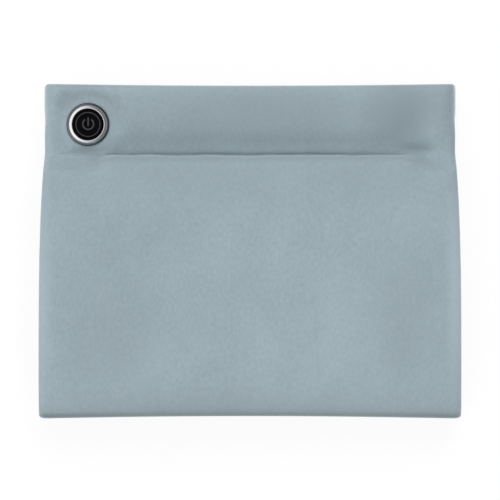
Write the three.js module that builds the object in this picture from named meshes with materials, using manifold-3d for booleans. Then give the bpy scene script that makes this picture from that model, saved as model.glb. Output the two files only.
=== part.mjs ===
// Rechargeable hand warmer: a plush muff with a heated tunnel for the hands, a stuffed band above it
// that holds the battery and the controller, and a round power button in the band's corner.
// The muff lies on its back: X runs across it, Y up towards the band, Z out of its front. All in mm.
import * as THREE from "three";
import { mergeVertices } from "three/addons/utils/BufferGeometryUtils.js";
import Module from "manifold-3d";

const wasm = await Module();
wasm.setup();

// Overall form
const MUFF_WIDTH = 270;
const MUFF_HEIGHT = 213;
const MUFF_THICKNESS = 48;
const BAND_INSET = 2.8;
const BAND_HEIGHT = 45.2;
const BAND_THICKNESS = 34;
const SEAM_RISE = 14;
const SEAM_LAND = 1.2;
const BOTTOM_SEAM_RISE = 20;
const TOP_SEAM_RISE = 10;

// How far each padded edge reaches in along Y before the panel lies flat
const FRONT_BOTTOM_TURN = 15;
const FRONT_SEAM_TURN = 11;
const REAR_BOTTOM_TURN = 12.5;
const REAR_SEAM_TURN = 12.5;
const BAND_TOP_TURN = 7;
const BAND_REAR_TURN = 14;
const BAND_ZIP_SLOPE = 17;
const BAND_END_TURN = 12;

// Powers that round the turned edges: 2 is an arc, more is fuller, less is flatter
const ARC_POWER = 2;
const FRONT_SEAM_POWER = 4;
const FRONT_BOTTOM_POWER = 4.2;
const BAND_SEAM_POWER = 1.8;
const BAND_TOP_POWER = 5;

// Shares that shape the padded surfaces
const BAND_SEAM_TURN_SHARE = 0.98;
const CUFF_DROP_SHARE = 0.17;
const CUFF_DROP_POWER = 6;
const EDGE_DROP_SHARE = 0.12;
const EDGE_DROP_POWER = 4;
const BAND_END_SHARE = 0.3;
const WIDTH_EASE_SHARE = 0.8;
const WIDTH_EASE_POWER = 2.6;
const STRIP_HOLD_SHARE = 0.8;
const KNOT_SHARES = [-1, -0.9, -0.75, -0.4, 0, 0.4, 0.75, 0.9, 1];
const BAND_END_KNOT_SHARES = [0, 0.5, 0.8];
const BUTTON_KNOT_SHARES = [-1.5, -1.1, -0.75, -0.4, 0, 0.4, 0.75, 1.1, 1.5];
const CABLE_SWEEP_SHARES = [0.3, 0.7];

// Layers of the wall, from the plush inwards
const COVER = 1.8;
const PADDING = 5;
const FILM = 0.4;
const LINING = 1.2;
const BAND_PADDING = 3;
const LAY_GAP = 0.3;
const CUFF_TURN_IN = 15;

// Heating films, their bus bars and leads
const FILM_EDGE_MARGIN = 6;
const FILM_SIDE_MARGIN = 8;
const BUS_BAR = 4;
const TAIL_WIDTH = 6;
const SENSOR_LENGTH = 12;
const SENSOR_WIDTH = 6;
const SENSOR_THICKNESS = 1.8;
const SENSOR_X = -50;
const SENSOR_Y = -10;
const GATE_FROM_BUTTON = 22.75;
const CABLE_RADIUS = 1.4;
const CABLE_RISE = 10.3;
const CABLE_LEAN = 0.6;
const CABLE_LEAD = 3.1;
const CABLE_DIP = 0.45;
const CRIMP_WIDTH = 8;
const CRIMP_THICKNESS = 2.6;

// Power button, placed from the left edge of the band and from its top edge
const BUTTON_FROM_SIDE = 28.7;
const BUTTON_FROM_TOP = 25.8;
const BUTTON_SINK = 6;
const DIMPLE_BLEND = 7.5;
const BUTTON_TRAVEL = 0.6;
const CAP_DIAMETER = 19.6;
const CAP_RISE = 2;
const CAP_FACE = 1.5;
const CAP_WALL = 1.3;
const CAP_RIM = 0.8;
const CAP_RIM_HEIGHT = 1;
const CAP_EDGE = 0.5;
const CAP_RING_RADIUS = 7.7;
const CAP_RING_WIDTH = 0.8;
const CAP_RING_DEPTH = 0.25;
const STEM_RADIUS = 1.8;
const CAP_SIDE_GAP = 0.25;
const BEZEL_DIAMETER = 27.4;
const BEZEL_RISE = 3.4;
const BEZEL_EDGE = 0.8;
const BEZEL_LIP = 0.6;
const BARREL_WALL = 1.2;
const BARREL_DEPTH = 6.6;
const CLAMP_WIDTH = 2.7;
const CLAMP_THICKNESS = 2.3;
const CLAMP_NOTCHES = 6;
const CLAMP_NOTCH = 1.6;

// Controller casing and what it holds
const CASE_DEPTH = 10.4;
const CASE_WALL = 1.4;
const CASE_LID = 1.8;
const BOARD = 1.2;
const LID_RIM = 0.5;
const SCREW_COUNT = 3;
const SCREW_RADIUS = 0.8;
const SCREW_HEAD_RADIUS = 1.9;
const SCREW_HEAD = 1;
const SCREW_GRIP = 3.4;
const MATE_GAP = 0.1;
const RUN_GAP = 0.2;
const SWITCH_SIDE = 6;
const SWITCH_HEIGHT = 3.4;
const PLUNGER_RADIUS = 1.7;
const PLUNGER_RISE = 1.2;
const PLUNGER_HOLD = 1.3;
const LED_SIDE = 1.6;
const LED_HEIGHT = 0.8;
const LED_FROM_AXIS = 7;
const PLUG_LENGTH = 7;
const PLUG_WIDTH = 9;
const PLUG_HEIGHT = 3.4;

// Battery pack
const PACK_FROM_SIDE = 36.2;
const PACK_LENGTH = 120;
const PACK_THICKNESS = 16.5;
const PACK_CORNER = 5;
const PACK_WALL = 1.5;
const PACK_LIP = 1;
const PACK_FROM_SEAM = 5.1;
const PACK_FROM_TOP = 14.5;
const PACK_ROOM = 0.5;
const PLUG_ROOM = 14;
const CELL_CORNER = 1.5;
const CHARGE_BOARD_LENGTH = 18;
const USB_WIDTH = 8.94;
const USB_HEIGHT = 3.26;
const USB_DEPTH = 7.35;
const USB_WALL = 0.35;
const USB_TONGUE = 0.7;
const USB_TONGUE_WIDTH = 6.2;
const USB_TONGUE_BACK = 1;

// Zip on the sloping rear of the band
const ZIP_FROM_SIDE = 36.2;
const ZIP_SLOT = 8;
const ZIP_TAPE_WIDTH = 6;
const ZIP_TAPE = 0.6;
const TOOTH_PITCH = 4;
const TOOTH_WIDTH = 2.4;
const TOOTH_LENGTH = 2.2;
const TOOTH_HEIGHT = 2;
const TOOTH_HOLD = 0.8;
const ROW_GAP = 1.2;
const STOP_LENGTH = 2.4;
const SLIDER_LENGTH = 9;
const SLIDER_WIDTH = 7.2;
const SLIDER_PLATE = 1;
const SLIDER_FLANGE = 0.55;
const SLIDER_POST = 0.7;
const SLIDER_POST_LENGTH = 4;
const BRIDGE_LENGTH = 5.6;
const BRIDGE_WIDTH = 2;
const BRIDGE_BAR = 0.8;
const PULL_BAR_RADIUS = 0.55;
const PULL_ARM = 0.9;
const PULL_WIDTH = 6;
const PULL_LENGTH = 15;
const PULL_THICKNESS = 1.1;
const PULL_WINDOW = 3.6;
const PULL_CORNER = 1.6;

// How finely curves are cut into flats, and how far a cutting tool runs past what it cuts
const RING_SIDES = 36;
const SMALL_SIDES = 12;
const CABLE_SIDES = 8;
const CABLE_STEPS = 18;
const TURN_STEPS = 4;
const FRONT_FLATS = 4;
const REAR_FLATS = 1;
const BAND_FLATS = 1;
const RIM_STEPS = 4;
const CORNER_STEPS = 4;
const DOME_STEPS = 8;
const OVERRUN = 1;

const MUFF_HALF = MUFF_WIDTH / 2;
const BAND_HALF = MUFF_HALF - BAND_INSET;
const TOP_Y = MUFF_HEIGHT / 2;
const BOTTOM_Y = -MUFF_HEIGHT / 2;
const SEAM_Y = TOP_Y - BAND_HEIGHT;
const TUNNEL_TOP = SEAM_Y - SEAM_LAND / 2;
const BAND_BOTTOM = SEAM_Y + SEAM_LAND / 2;
const BAND_SEAM_TURN = (TOP_Y - BAND_TOP_TURN - BAND_BOTTOM) * BAND_SEAM_TURN_SHARE;
const PADDING_TOP = COVER + LAY_GAP;
const PADDING_FOOT = PADDING_TOP + PADDING;
const FILM_TOP = PADDING_FOOT + LAY_GAP;
const FILM_FOOT = FILM_TOP + FILM;
const LINING_TOP = FILM_FOOT + LAY_GAP;
const WALL = LINING_TOP + LINING;
const BAND_PADDING_FOOT = PADDING_TOP + BAND_PADDING;
const RIM_CENTRE = MUFF_HALF - WALL / 2;
const PACK_WIDTH = TOP_Y - PACK_FROM_TOP - BAND_BOTTOM - PACK_FROM_SEAM;
const ZIP_LENGTH = 2 * (BAND_HALF - ZIP_FROM_SIDE);

const plush = { color: "#9cabb2", roughness: 0.95, metalness: 0 };
const wadding = { color: "#e9e8e3", roughness: 1, metalness: 0 };
const satinCloth = { color: "#6f7c84", roughness: 0.7, metalness: 0 };
const heaterSheet = { color: "#3a3f45", roughness: 0.6, metalness: 0 };
const copper = { color: "#b87340", roughness: 0.35, metalness: 1 };
const chrome = { color: "#c8cbce", roughness: 0.12, metalness: 1 };
const blackGloss = { color: "#0b0c0e", roughness: 0.12, metalness: 0 };
const blackPlastic = { color: "#1d1f22", roughness: 0.6, metalness: 0 };
const whitePlastic = { color: "#dfe0dd", roughness: 0.5, metalness: 0 };
const boardGreen = { color: "#1f5b39", roughness: 0.5, metalness: 0 };
const steel = { color: "#a9acaf", roughness: 0.35, metalness: 1 };
const cellWrap = { color: "#2f62a3", roughness: 0.45, metalness: 0 };
const cableSleeve = { color: "#16181a", roughness: 0.7, metalness: 0 };
const lampClear = { color: "#e6ecf2", roughness: 0.2, metalness: 0 };

const handWarmer = new THREE.Group();

// Joining and cutting of closed meshes

function toSolid(geometry) {
  const bare = geometry.clone();
  bare.deleteAttribute("normal");
  bare.deleteAttribute("uv");
  const merged = mergeVertices(bare, 1e-4);
  const points = merged.attributes.position.array;
  const triangles = new Uint32Array(merged.index.array);
  const made = new wasm.Manifold(new wasm.Mesh({ numProp: 3, vertProperties: points, triVerts: triangles }));
  if (made.volume() > 0) return made;
  triangles.reverse();
  return new wasm.Manifold(new wasm.Mesh({ numProp: 3, vertProperties: points, triVerts: triangles }));
}

function toGeometry(solid) {
  const mesh = solid.getMesh();
  const geometry = new THREE.BufferGeometry();
  geometry.setAttribute("position", new THREE.BufferAttribute(new Float32Array(mesh.vertProperties), 3));
  geometry.setIndex(new THREE.BufferAttribute(new Uint32Array(mesh.triVerts), 1));
  const flat = geometry.toNonIndexed();
  flat.computeVertexNormals();
  return flat;
}

function join(...geometries) {
  const [first, ...rest] = geometries.map(toSolid);
  return toGeometry(rest.reduce((made, next) => made.add(next), first));
}

function cut(geometry, ...tools) {
  return toGeometry(tools.map(toSolid).reduce((left, tool) => left.subtract(tool), toSolid(geometry)));
}

function keepInside(geometry, limit) {
  return toGeometry(toSolid(geometry).intersect(toSolid(limit)));
}

function addPiece(name, geometry, material, group = handWarmer) {
  const mesh = new THREE.Mesh(toGeometry(toSolid(geometry)), new THREE.MeshStandardMaterial(material));
  mesh.name = name;
  group.add(mesh);
  return mesh;
}

// Plain shapes

function block([x0, x1], [y0, y1], [z0, z1]) {
  const geometry = new THREE.BoxGeometry(x1 - x0, y1 - y0, z1 - z0);
  return geometry.translate((x0 + x1) / 2, (y0 + y1) / 2, (z0 + z1) / 2);
}

function revolve(profile, sides = RING_SIDES) {
  const points = profile.map(([radius, height]) => new THREE.Vector2(radius, height));
  return new THREE.LatheGeometry(points, sides).rotateX(Math.PI / 2);
}

function ring(inner, outer, z0, z1, sides = RING_SIDES) {
  return revolve([[inner, z0], [outer, z0], [outer, z1], [inner, z1], [inner, z0]], sides);
}

function rod(radius, z0, z1, x = 0, y = 0, sides = SMALL_SIDES) {
  const geometry = new THREE.CylinderGeometry(radius, radius, z1 - z0, sides).rotateX(Math.PI / 2);
  return geometry.translate(x, y, (z0 + z1) / 2);
}

function roundedOutline(width, height, corner) {
  const radius = Math.min(corner, width / 2, height / 2);
  const outline = new THREE.Shape();
  const [x, y] = [width / 2 - radius, height / 2 - radius];
  outline.absarc(x, y, radius, 0, Math.PI / 2);
  outline.absarc(-x, y, radius, Math.PI / 2, Math.PI);
  outline.absarc(-x, -y, radius, Math.PI, Math.PI * 1.5);
  outline.absarc(x, -y, radius, Math.PI * 1.5, Math.PI * 2);
  return outline;
}

function extrude(outline, depth) {
  return new THREE.ExtrudeGeometry(outline, { depth, bevelEnabled: false, curveSegments: CORNER_STEPS });
}

// A bar along X whose section is an outline drawn in Y and Z.
function barAlongX(outline, x0, x1, y, z) {
  const turn = new THREE.Matrix4().makeBasis(
    new THREE.Vector3(0, 1, 0),
    new THREE.Vector3(0, 0, 1),
    new THREE.Vector3(1, 0, 0),
  );
  return extrude(outline, x1 - x0).applyMatrix4(turn).translate(x0, y, z);
}

function cableAlong(points, radius) {
  const places = points.map((point) => new THREE.Vector3(...point));
  const path = new THREE.CatmullRomCurve3(places, false, "centripetal");
  const section = new THREE.Shape();
  for (let i = 0; i < CABLE_SIDES; i++) {
    const angle = (i / CABLE_SIDES) * Math.PI * 2;
    const move = i ? "lineTo" : "moveTo";
    section[move](radius * Math.cos(angle), radius * Math.sin(angle));
  }
  return new THREE.ExtrudeGeometry(section, { steps: CABLE_STEPS, extrudePath: path });
}

// The padded surface of the muff. A layer point is given by X across the muff, by a station on the
// section and by its depth under the plush. Layers share their stations, so they stay apart.

const smooth = (share) => share * share * (3 - 2 * share);
const clamp = (value, low, high) => Math.min(Math.max(value, low), high);

const narrowShare = BAND_HALF / MUFF_HALF;

function widthShare(y) {
  const below = clamp((SEAM_Y - y) / (SEAM_Y - BOTTOM_Y * WIDTH_EASE_SHARE), 0, 1);
  return narrowShare + (1 - narrowShare) * (1 - (1 - below) ** WIDTH_EASE_POWER);
}

// The drop towards the cuffs, straight between the shared knots.
function cuffDrop(x) {
  const share = clamp(x / MUFF_HALF, -1, 1);
  const next = Math.max(KNOT_SHARES.findIndex((knot) => knot >= share), 1);
  const [low, high] = [KNOT_SHARES[next - 1], KNOT_SHARES[next]];
  const drop = (knot) => CUFF_DROP_SHARE * Math.abs(knot) ** CUFF_DROP_POWER;
  return drop(low) + ((drop(high) - drop(low)) * (share - low)) / (high - low);
}

const button = {
  x: BUTTON_FROM_SIDE - BAND_HALF,
  y: TOP_Y - BUTTON_FROM_TOP,
  z: BAND_THICKNESS - BUTTON_SINK,
};
const gateX = button.x + GATE_FROM_BUTTON;

const roundShare = (share, power) => (1 - clamp(share, 0, 1) ** power) ** (1 / power);

function bandFrontHeight(y) {
  const seamSide = BAND_BOTTOM + BAND_SEAM_TURN;
  const topSide = TOP_Y - BAND_TOP_TURN;
  if (y < seamSide) {
    const rise = roundShare((seamSide - y) / BAND_SEAM_TURN, BAND_SEAM_POWER);
    return SEAM_RISE + (BAND_THICKNESS - SEAM_RISE) * rise;
  }
  const rise = roundShare((y - topSide) / BAND_TOP_TURN, BAND_TOP_POWER);
  return TOP_SEAM_RISE + (BAND_THICKNESS - TOP_SEAM_RISE) * rise;
}

// The tunnel's front crowns in the middle, the band closes at its ends, and the button draws it in.
function settle(x, y, z) {
  const across = x * widthShare(y);
  const above = z - SEAM_RISE;
  if (y < SEAM_Y) {
    const middle = (TUNNEL_TOP + BOTTOM_Y) / 2;
    const edge = (y - middle) / (TUNNEL_TOP - middle);
    const keep = 1 - cuffDrop(x) - EDGE_DROP_SHARE * edge ** EDGE_DROP_POWER;
    return new THREE.Vector3(across, y, above > 0 ? SEAM_RISE + above * keep : z);
  }
  const overEnd = clamp((Math.abs(x) - (MUFF_HALF - BAND_END_TURN)) / BAND_END_TURN, 0, 1);
  const keep = Math.sqrt(1 - overEnd ** 2 * (1 - BAND_END_SHARE ** 2));
  const away = Math.hypot(across - button.x, y - button.y) - BEZEL_DIAMETER / 2 - OVERRUN;
  const pull = 1 - smooth(clamp(away / DIMPLE_BLEND, 0, 1));
  const natural = bandFrontHeight(y) - SEAM_RISE;
  const drawn = above > 0 && natural > LAY_GAP ? 1 + pull * ((button.z - SEAM_RISE) / natural - 1) : 1;
  return new THREE.Vector3(across, y, SEAM_RISE + above * keep * drawn);
}

// One half of a section: its two turned ends and the level that it lies flat at.
const halves = {
  tunnelFront: {
    side: 1, level: MUFF_THICKNESS,
    high: { y: TUNNEL_TOP, z: SEAM_RISE, turn: FRONT_SEAM_TURN, power: FRONT_SEAM_POWER },
    low: { y: BOTTOM_Y, z: BOTTOM_SEAM_RISE, turn: FRONT_BOTTOM_TURN, power: FRONT_BOTTOM_POWER },
  },
  tunnelRear: {
    side: -1, level: 0,
    high: { y: TUNNEL_TOP, z: SEAM_RISE, turn: REAR_SEAM_TURN, power: ARC_POWER },
    low: { y: BOTTOM_Y, z: BOTTOM_SEAM_RISE, turn: REAR_BOTTOM_TURN, power: ARC_POWER },
  },
  bandFront: {
    side: 1, level: BAND_THICKNESS,
    high: { y: TOP_Y, z: TOP_SEAM_RISE, turn: BAND_TOP_TURN, power: BAND_TOP_POWER },
    low: { y: BAND_BOTTOM, z: SEAM_RISE, turn: BAND_SEAM_TURN, power: BAND_SEAM_POWER },
  },
  bandRear: {
    side: -1, level: 0,
    high: { y: TOP_Y, z: TOP_SEAM_RISE, turn: BAND_ZIP_SLOPE, straight: true },
    low: { y: BAND_BOTTOM, z: SEAM_RISE, turn: BAND_REAR_TURN, power: ARC_POWER },
  },
};

function sectionPoint(half, station, depth) {
  if (station.y !== undefined) return [station.y, half.level - half.side * depth];
  const end = half[station.end];
  const inward = station.end === "high" ? -1 : 1;
  const rise = Math.abs(half.level - end.z);
  if (end.straight) {
    const slope = Math.atan2(rise, end.turn);
    const foot = [end.y + inward * (end.turn + depth * Math.tan(slope / 2)), half.level - half.side * depth];
    const head = [end.y + (inward * depth) / Math.sin(slope), end.z + (half.side * LAY_GAP) / 2];
    return [0, 1].map((k) => head[k] + (foot[k] - head[k]) * station.share);
  }
  const angle = (station.share * Math.PI) / 2;
  const [near, up] = [Math.cos(angle), Math.sin(angle)].map((share) => share ** (ARC_POWER / end.power));
  const lift = Math.max((rise - depth) * up, LAY_GAP / 2);
  return [end.y + inward * (end.turn - (end.turn - depth) * near), end.z + half.side * lift];
}

const sharesOf = (steps) => Array.from({ length: steps + 1 }, (_, i) => i / steps);

// Stations from the high end of a half to its low end.
function stationsOf(half, flats, highShares = sharesOf(TURN_STEPS), lowShares = sharesOf(TURN_STEPS)) {
  const from = half.high.y - half.high.turn;
  const to = half.low.y + half.low.turn;
  const inner = sharesOf(flats).slice(1, -1).map((share) => ({ y: from + (to - from) * share }));
  const high = highShares.map((share) => ({ end: "high", share }));
  const low = lowShares.map((share) => ({ end: "low", share })).reverse();
  return [...high, ...inner, ...low];
}

// A sheet: pairs of outer and inner places on a ribbon across the muff, carried along the stations.
function sheet(half, stations, pairs, closeWith = null) {
  const rows = stations.map((station) => [half, station]);
  if (closeWith) rows.push(...closeWith.stations.map((station) => [closeWith.half, station]));
  const at = ([rowHalf, station], [x, depth]) => {
    const [y, z] = sectionPoint(rowHalf, station, depth);
    return settle(x, y, z);
  };
  const outer = rows.map((row) => pairs.map((pair) => at(row, pair[0])));
  const inner = rows.map((row) => pairs.map((pair) => at(row, pair[1])));
  const points = [];
  const quad = (a, b, c, d) => points.push(a, b, c, a, c, d);
  const [count, last] = [rows.length, pairs.length - 1];
  const spans = closeWith ? count : count - 1;
  for (let i = 0; i < spans; i++) {
    const j = (i + 1) % count;
    for (let k = 0; k < last; k++) {
      quad(outer[i][k], outer[j][k], outer[j][k + 1], outer[i][k + 1]);
      quad(inner[i][k], inner[i][k + 1], inner[j][k + 1], inner[j][k]);
    }
    quad(outer[i][0], inner[i][0], inner[j][0], outer[j][0]);
    quad(outer[i][last], outer[j][last], inner[j][last], inner[i][last]);
  }
  for (let k = 0; !closeWith && k < last; k++) {
    const end = count - 1;
    quad(outer[0][k], outer[0][k + 1], inner[0][k + 1], inner[0][k]);
    quad(outer[end][k], inner[end][k], inner[end][k + 1], outer[end][k + 1]);
  }
  return new THREE.BufferGeometry().setFromPoints(points);
}

// Places across the muff from x0 to x1, with the given knots between them.
function across(x0, x1, knots = KNOT_SHARES.map((share) => share * MUFF_HALF)) {
  return [x0, ...knots.filter((x) => x > x0 + OVERRUN && x < x1 - OVERRUN), x1];
}

const layerPairs = (xs, top, foot) => xs.map((x) => [[x, top], [x, foot]]);

// The plush turns round the cuff and runs back inside it, where the lining meets it.
function cuffPairs() {
  const rim = sharesOf(RIM_STEPS).map((share) => {
    const angle = share * Math.PI;
    const arc = (radius) => [RIM_CENTRE + radius * Math.sin(angle), WALL / 2 - radius * Math.cos(angle)];
    return [arc(WALL / 2), arc(WALL / 2 - COVER)];
  });
  const right = [...rim, [[RIM_CENTRE - CUFF_TURN_IN, WALL], [RIM_CENTRE - CUFF_TURN_IN, WALL - COVER]]];
  const left = right.map((pair) => pair.map(([x, depth]) => [-x, depth])).reverse();
  const middle = layerPairs(across(-RIM_CENTRE, RIM_CENTRE).slice(1, -1), 0, COVER);
  return [...left, ...middle, ...right];
}

// The band's plush closes over its ends down to the seam at mid height.
const bandKnots = [
  ...[-1, 1].flatMap((way) =>
    BAND_END_KNOT_SHARES.map((share) => way * (MUFF_HALF - BAND_END_TURN * (1 - share)))),
  ...BUTTON_KNOT_SHARES.map((share) => (button.x + (share * BEZEL_DIAMETER) / 2) / narrowShare),
  0,
  MUFF_HALF / 2,
].sort((a, b) => a - b);

const bandPairs = layerPairs(across(-MUFF_HALF, MUFF_HALF, bandKnots), 0, COVER);

// The closed end of the band: each panel comes down or up to the side seam, on the line between the
// pinch and the top edge.
function bandEnd(half, stations, way) {
  const profile = stations.map((station) => {
    const [y, z] = sectionPoint(half, station, COVER / 2);
    return [y, (z - SEAM_RISE) * BAND_END_SHARE];
  });
  const [[topY, topZ], [lowY, lowZ]] = [profile[0], profile[profile.length - 1]];
  const part = (half.side * LAY_GAP) / 2;
  const outline = new THREE.Shape();
  outline.moveTo(topY, topZ + part);
  profile.slice(1, -1).forEach(([y, z]) => outline.lineTo(y, z));
  outline.lineTo(lowY, lowZ + part);
  const reach = MUFF_HALF * narrowShare;
  const xs = way > 0 ? [reach - COVER, reach] : [-reach, COVER - reach];
  return barAlongX(outline, ...xs, 0, SEAM_RISE);
}

function seamStrip(side) {
  const reach = SEAM_LAND / 2 + COVER * STRIP_HOLD_SHARE;
  const half = RIM_CENTRE * narrowShare;
  const [near, far] = [LAY_GAP / 2, LAY_GAP / 2 + COVER];
  const heights = side > 0 ? [SEAM_RISE + near, SEAM_RISE + far] : [SEAM_RISE - far, SEAM_RISE - near];
  return block([-half, half], [SEAM_Y - reach, SEAM_Y + reach], heights);
}

// The sloping rear of the band, which carries the zip. In its own group X runs along the zip, Y up the
// slope and Z inwards, from the plush's outer face.
const slopeAngle = Math.atan2(TOP_SEAM_RISE, BAND_ZIP_SLOPE);
const slopeMiddle = { y: TOP_Y - BAND_ZIP_SLOPE / 2, z: TOP_SEAM_RISE / 2 };

function ontoSlope(geometry) {
  return geometry.clone().rotateX(slopeAngle).translate(0, slopeMiddle.y, slopeMiddle.z);
}

// Covers

const gate = block(
  [gateX - CABLE_RADIUS - LAY_GAP, gateX + CABLE_RADIUS + LAY_GAP],
  [TUNNEL_TOP - PADDING_FOOT - LAY_GAP, BAND_BOTTOM + BAND_PADDING_FOOT + OVERRUN],
  [SEAM_RISE - CABLE_RADIUS - LAY_GAP, SEAM_RISE + CABLE_RADIUS + LAY_GAP],
);

const bezelRadius = BEZEL_DIAMETER / 2;
const capBore = CAP_DIAMETER / 2 + CAP_SIDE_GAP;
const rimBore = CAP_DIAMETER / 2 + CAP_RIM + CAP_SIDE_GAP;
const barrelRadius = rimBore + BARREL_WALL;
const clothHole = barrelRadius + LAY_GAP;
const clampRadius = clothHole + CLAMP_WIDTH;
const atButton = (geometry) => geometry.clone().translate(button.x, button.y, button.z);

function makeFrontCover() {
  const tunnel = sheet(halves.tunnelFront, stationsOf(halves.tunnelFront, FRONT_FLATS), cuffPairs());
  const bandStations = stationsOf(halves.bandFront, BAND_FLATS);
  const band = sheet(halves.bandFront, bandStations, bandPairs);
  const ends = [-1, 1].map((way) => bandEnd(halves.bandFront, bandStations, way));
  const seat = atButton(rod(clampRadius, -COVER, 0, 0, 0, RING_SIDES));
  const aboveSeat = atButton(rod(clampRadius, 0, BUTTON_SINK + OVERRUN, 0, 0, RING_SIDES));
  const seatRoom = rod(clampRadius + LAY_GAP, -CASE_DEPTH - BARREL_DEPTH, -COVER, 0, 0, RING_SIDES);
  const underSeat = atButton(seatRoom);
  const hole = atButton(rod(clothHole, -COVER - OVERRUN, OVERRUN, 0, 0, RING_SIDES));
  const whole = join(tunnel, band, seamStrip(1), ...ends);
  return cut(join(cut(whole, aboveSeat, underSeat), seat), hole, gate);
}

function makeRearCover() {
  const tunnel = sheet(halves.tunnelRear, stationsOf(halves.tunnelRear, REAR_FLATS), cuffPairs());
  const bandStations = stationsOf(halves.bandRear, BAND_FLATS, sharesOf(1));
  const band = sheet(halves.bandRear, bandStations, bandPairs);
  const ends = [-1, 1].map((way) => bandEnd(halves.bandRear, bandStations, way));
  const half = ZIP_LENGTH / 2;
  const slot = ontoSlope(block([-half, half], [-ZIP_SLOT / 2, ZIP_SLOT / 2], [-OVERRUN, COVER + OVERRUN]));
  return cut(join(tunnel, band, seamStrip(-1), ...ends), slot, gate);
}

addPiece("front_cover", makeFrontCover(), plush);
addPiece("rear_cover", makeRearCover(), plush);

// Wadding

const crimpHalf = CRIMP_WIDTH / 2;
const crimpY = [TUNNEL_TOP - PADDING_FOOT, TUNNEL_TOP - PADDING_TOP - LAY_GAP];
const crimpRoom = block(
  [gateX - crimpHalf - LAY_GAP, gateX + crimpHalf + LAY_GAP],
  [TUNNEL_TOP - PADDING_FOOT - OVERRUN, TUNNEL_TOP],
  [SEAM_RISE - CRIMP_THICKNESS / 2 - LAY_GAP, SEAM_RISE + CRIMP_THICKNESS / 2 + LAY_GAP],
);

function sensorPatch(clearance) {
  const half = SENSOR_WIDTH / 2 + clearance;
  const stations = [{ y: SENSOR_Y + half }, { y: SENSOR_Y - half }];
  const reach = SENSOR_LENGTH / 2 + clearance;
  const top = PADDING_FOOT - SENSOR_THICKNESS - clearance;
  const foot = clearance ? PADDING_FOOT + clearance : PADDING_FOOT;
  return sheet(halves.tunnelFront, stations, layerPairs([SENSOR_X - reach, SENSOR_X + reach], top, foot));
}

function tunnelPadding(half, flats) {
  const xs = across(-RIM_CENTRE, RIM_CENTRE);
  return sheet(half, stationsOf(half, flats), layerPairs(xs, PADDING_TOP, PADDING_FOOT));
}

const frontPadding = tunnelPadding(halves.tunnelFront, FRONT_FLATS);
addPiece("front_padding", cut(frontPadding, crimpRoom, sensorPatch(LAY_GAP)), wadding);
addPiece("rear_padding", cut(tunnelPadding(halves.tunnelRear, REAR_FLATS), crimpRoom), wadding);

const pack = {
  x0: BAND_HALF - PACK_FROM_SIDE - PACK_LENGTH,
  x1: BAND_HALF - PACK_FROM_SIDE,
  y: BAND_BOTTOM + PACK_FROM_SEAM + PACK_WIDTH / 2,
  z: BAND_PADDING_FOOT + LAY_GAP + PACK_THICKNESS / 2,
};

function packBar(shrink, x0, x1, corner = PACK_CORNER) {
  const outline = roundedOutline(PACK_WIDTH - 2 * shrink, PACK_THICKNESS - 2 * shrink, corner - shrink);
  return barAlongX(outline, x0, x1, pack.y, pack.z);
}

// The room round the pack runs on past its socket, where a charging plug goes in.
const packRoom = packBar(-PACK_ROOM, pack.x0 - PACK_ROOM, pack.x1 + PLUG_ROOM);
const controllerRoom = atButton(
  rod(clampRadius + LAY_GAP, -BARREL_DEPTH - CASE_DEPTH, BUTTON_SINK, 0, 0, RING_SIDES),
);

function bandPadding(half, highShares, flats) {
  const reach = MUFF_HALF - BAND_END_TURN / 2;
  const xs = across(-reach, reach, bandKnots);
  const stations = stationsOf(half, flats, highShares);
  return sheet(half, stations, layerPairs(xs, PADDING_TOP, BAND_PADDING_FOOT));
}

const frontBandShares = sharesOf(TURN_STEPS).slice(1);
const bandFrontPadding = bandPadding(halves.bandFront, frontBandShares, BAND_FLATS);
const bandRearPadding = bandPadding(halves.bandRear, [1], BAND_FLATS);
addPiece("band_front_padding", cut(bandFrontPadding, controllerRoom, packRoom, gate), wadding);
addPiece("band_rear_padding", cut(bandRearPadding, controllerRoom, packRoom, gate), wadding);

// Lining of the hand tunnel: one sleeve round the whole section

const liningHalf = RIM_CENTRE - CUFF_TURN_IN - LAY_GAP;
addPiece(
  "lining",
  sheet(
    halves.tunnelFront,
    stationsOf(halves.tunnelFront, FRONT_FLATS),
    layerPairs(across(-liningHalf, liningHalf), LINING_TOP, WALL),
    { half: halves.tunnelRear, stations: stationsOf(halves.tunnelRear, REAR_FLATS).reverse() },
  ),
  satinCloth,
);

// Heating films with a copper bus bar along each long edge

function filmLayer(half, yHigh, yLow, xs) {
  const from = half.high.y - half.high.turn;
  const to = half.low.y + half.low.turn;
  const inner = sharesOf(FRONT_FLATS).map((share) => from + (to - from) * share);
  const ys = [yHigh, ...inner.filter((y) => y < yHigh - OVERRUN && y > yLow + OVERRUN), yLow];
  return sheet(half, ys.map((y) => ({ y })), layerPairs(xs, FILM_TOP, FILM_FOOT));
}

for (const [name, half] of [["front", halves.tunnelFront], ["rear", halves.tunnelRear]]) {
  const reach = liningHalf - FILM_SIDE_MARGIN;
  const xs = across(-reach, reach);
  const high = half.high.y - half.high.turn - FILM_EDGE_MARGIN;
  const low = half.low.y + half.low.turn + FILM_EDGE_MARGIN;
  const upperBar = [high + LAY_GAP + BUS_BAR, high + LAY_GAP];
  const lowerBar = [low - LAY_GAP, low - LAY_GAP - BUS_BAR];
  addPiece(name + "_heating_film", filmLayer(half, high, low, xs), heaterSheet);
  addPiece(name + "_upper_bus_bar", filmLayer(half, ...upperBar, xs), copper);
  addPiece(name + "_lower_bus_bar", filmLayer(half, ...lowerBar, xs), copper);
  const tailStations = [
    ...sharesOf(TURN_STEPS).map((share) => ({ end: "high", share })),
    { y: upperBar[0] + LAY_GAP },
  ];
  const tailXs = [gateX - TAIL_WIDTH / 2, gateX + TAIL_WIDTH / 2];
  addPiece(name + "_film_tail", sheet(half, tailStations, layerPairs(tailXs, FILM_TOP, FILM_FOOT)), copper);
}

addPiece("temperature_sensor", sensorPatch(0), whitePlastic);

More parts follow.
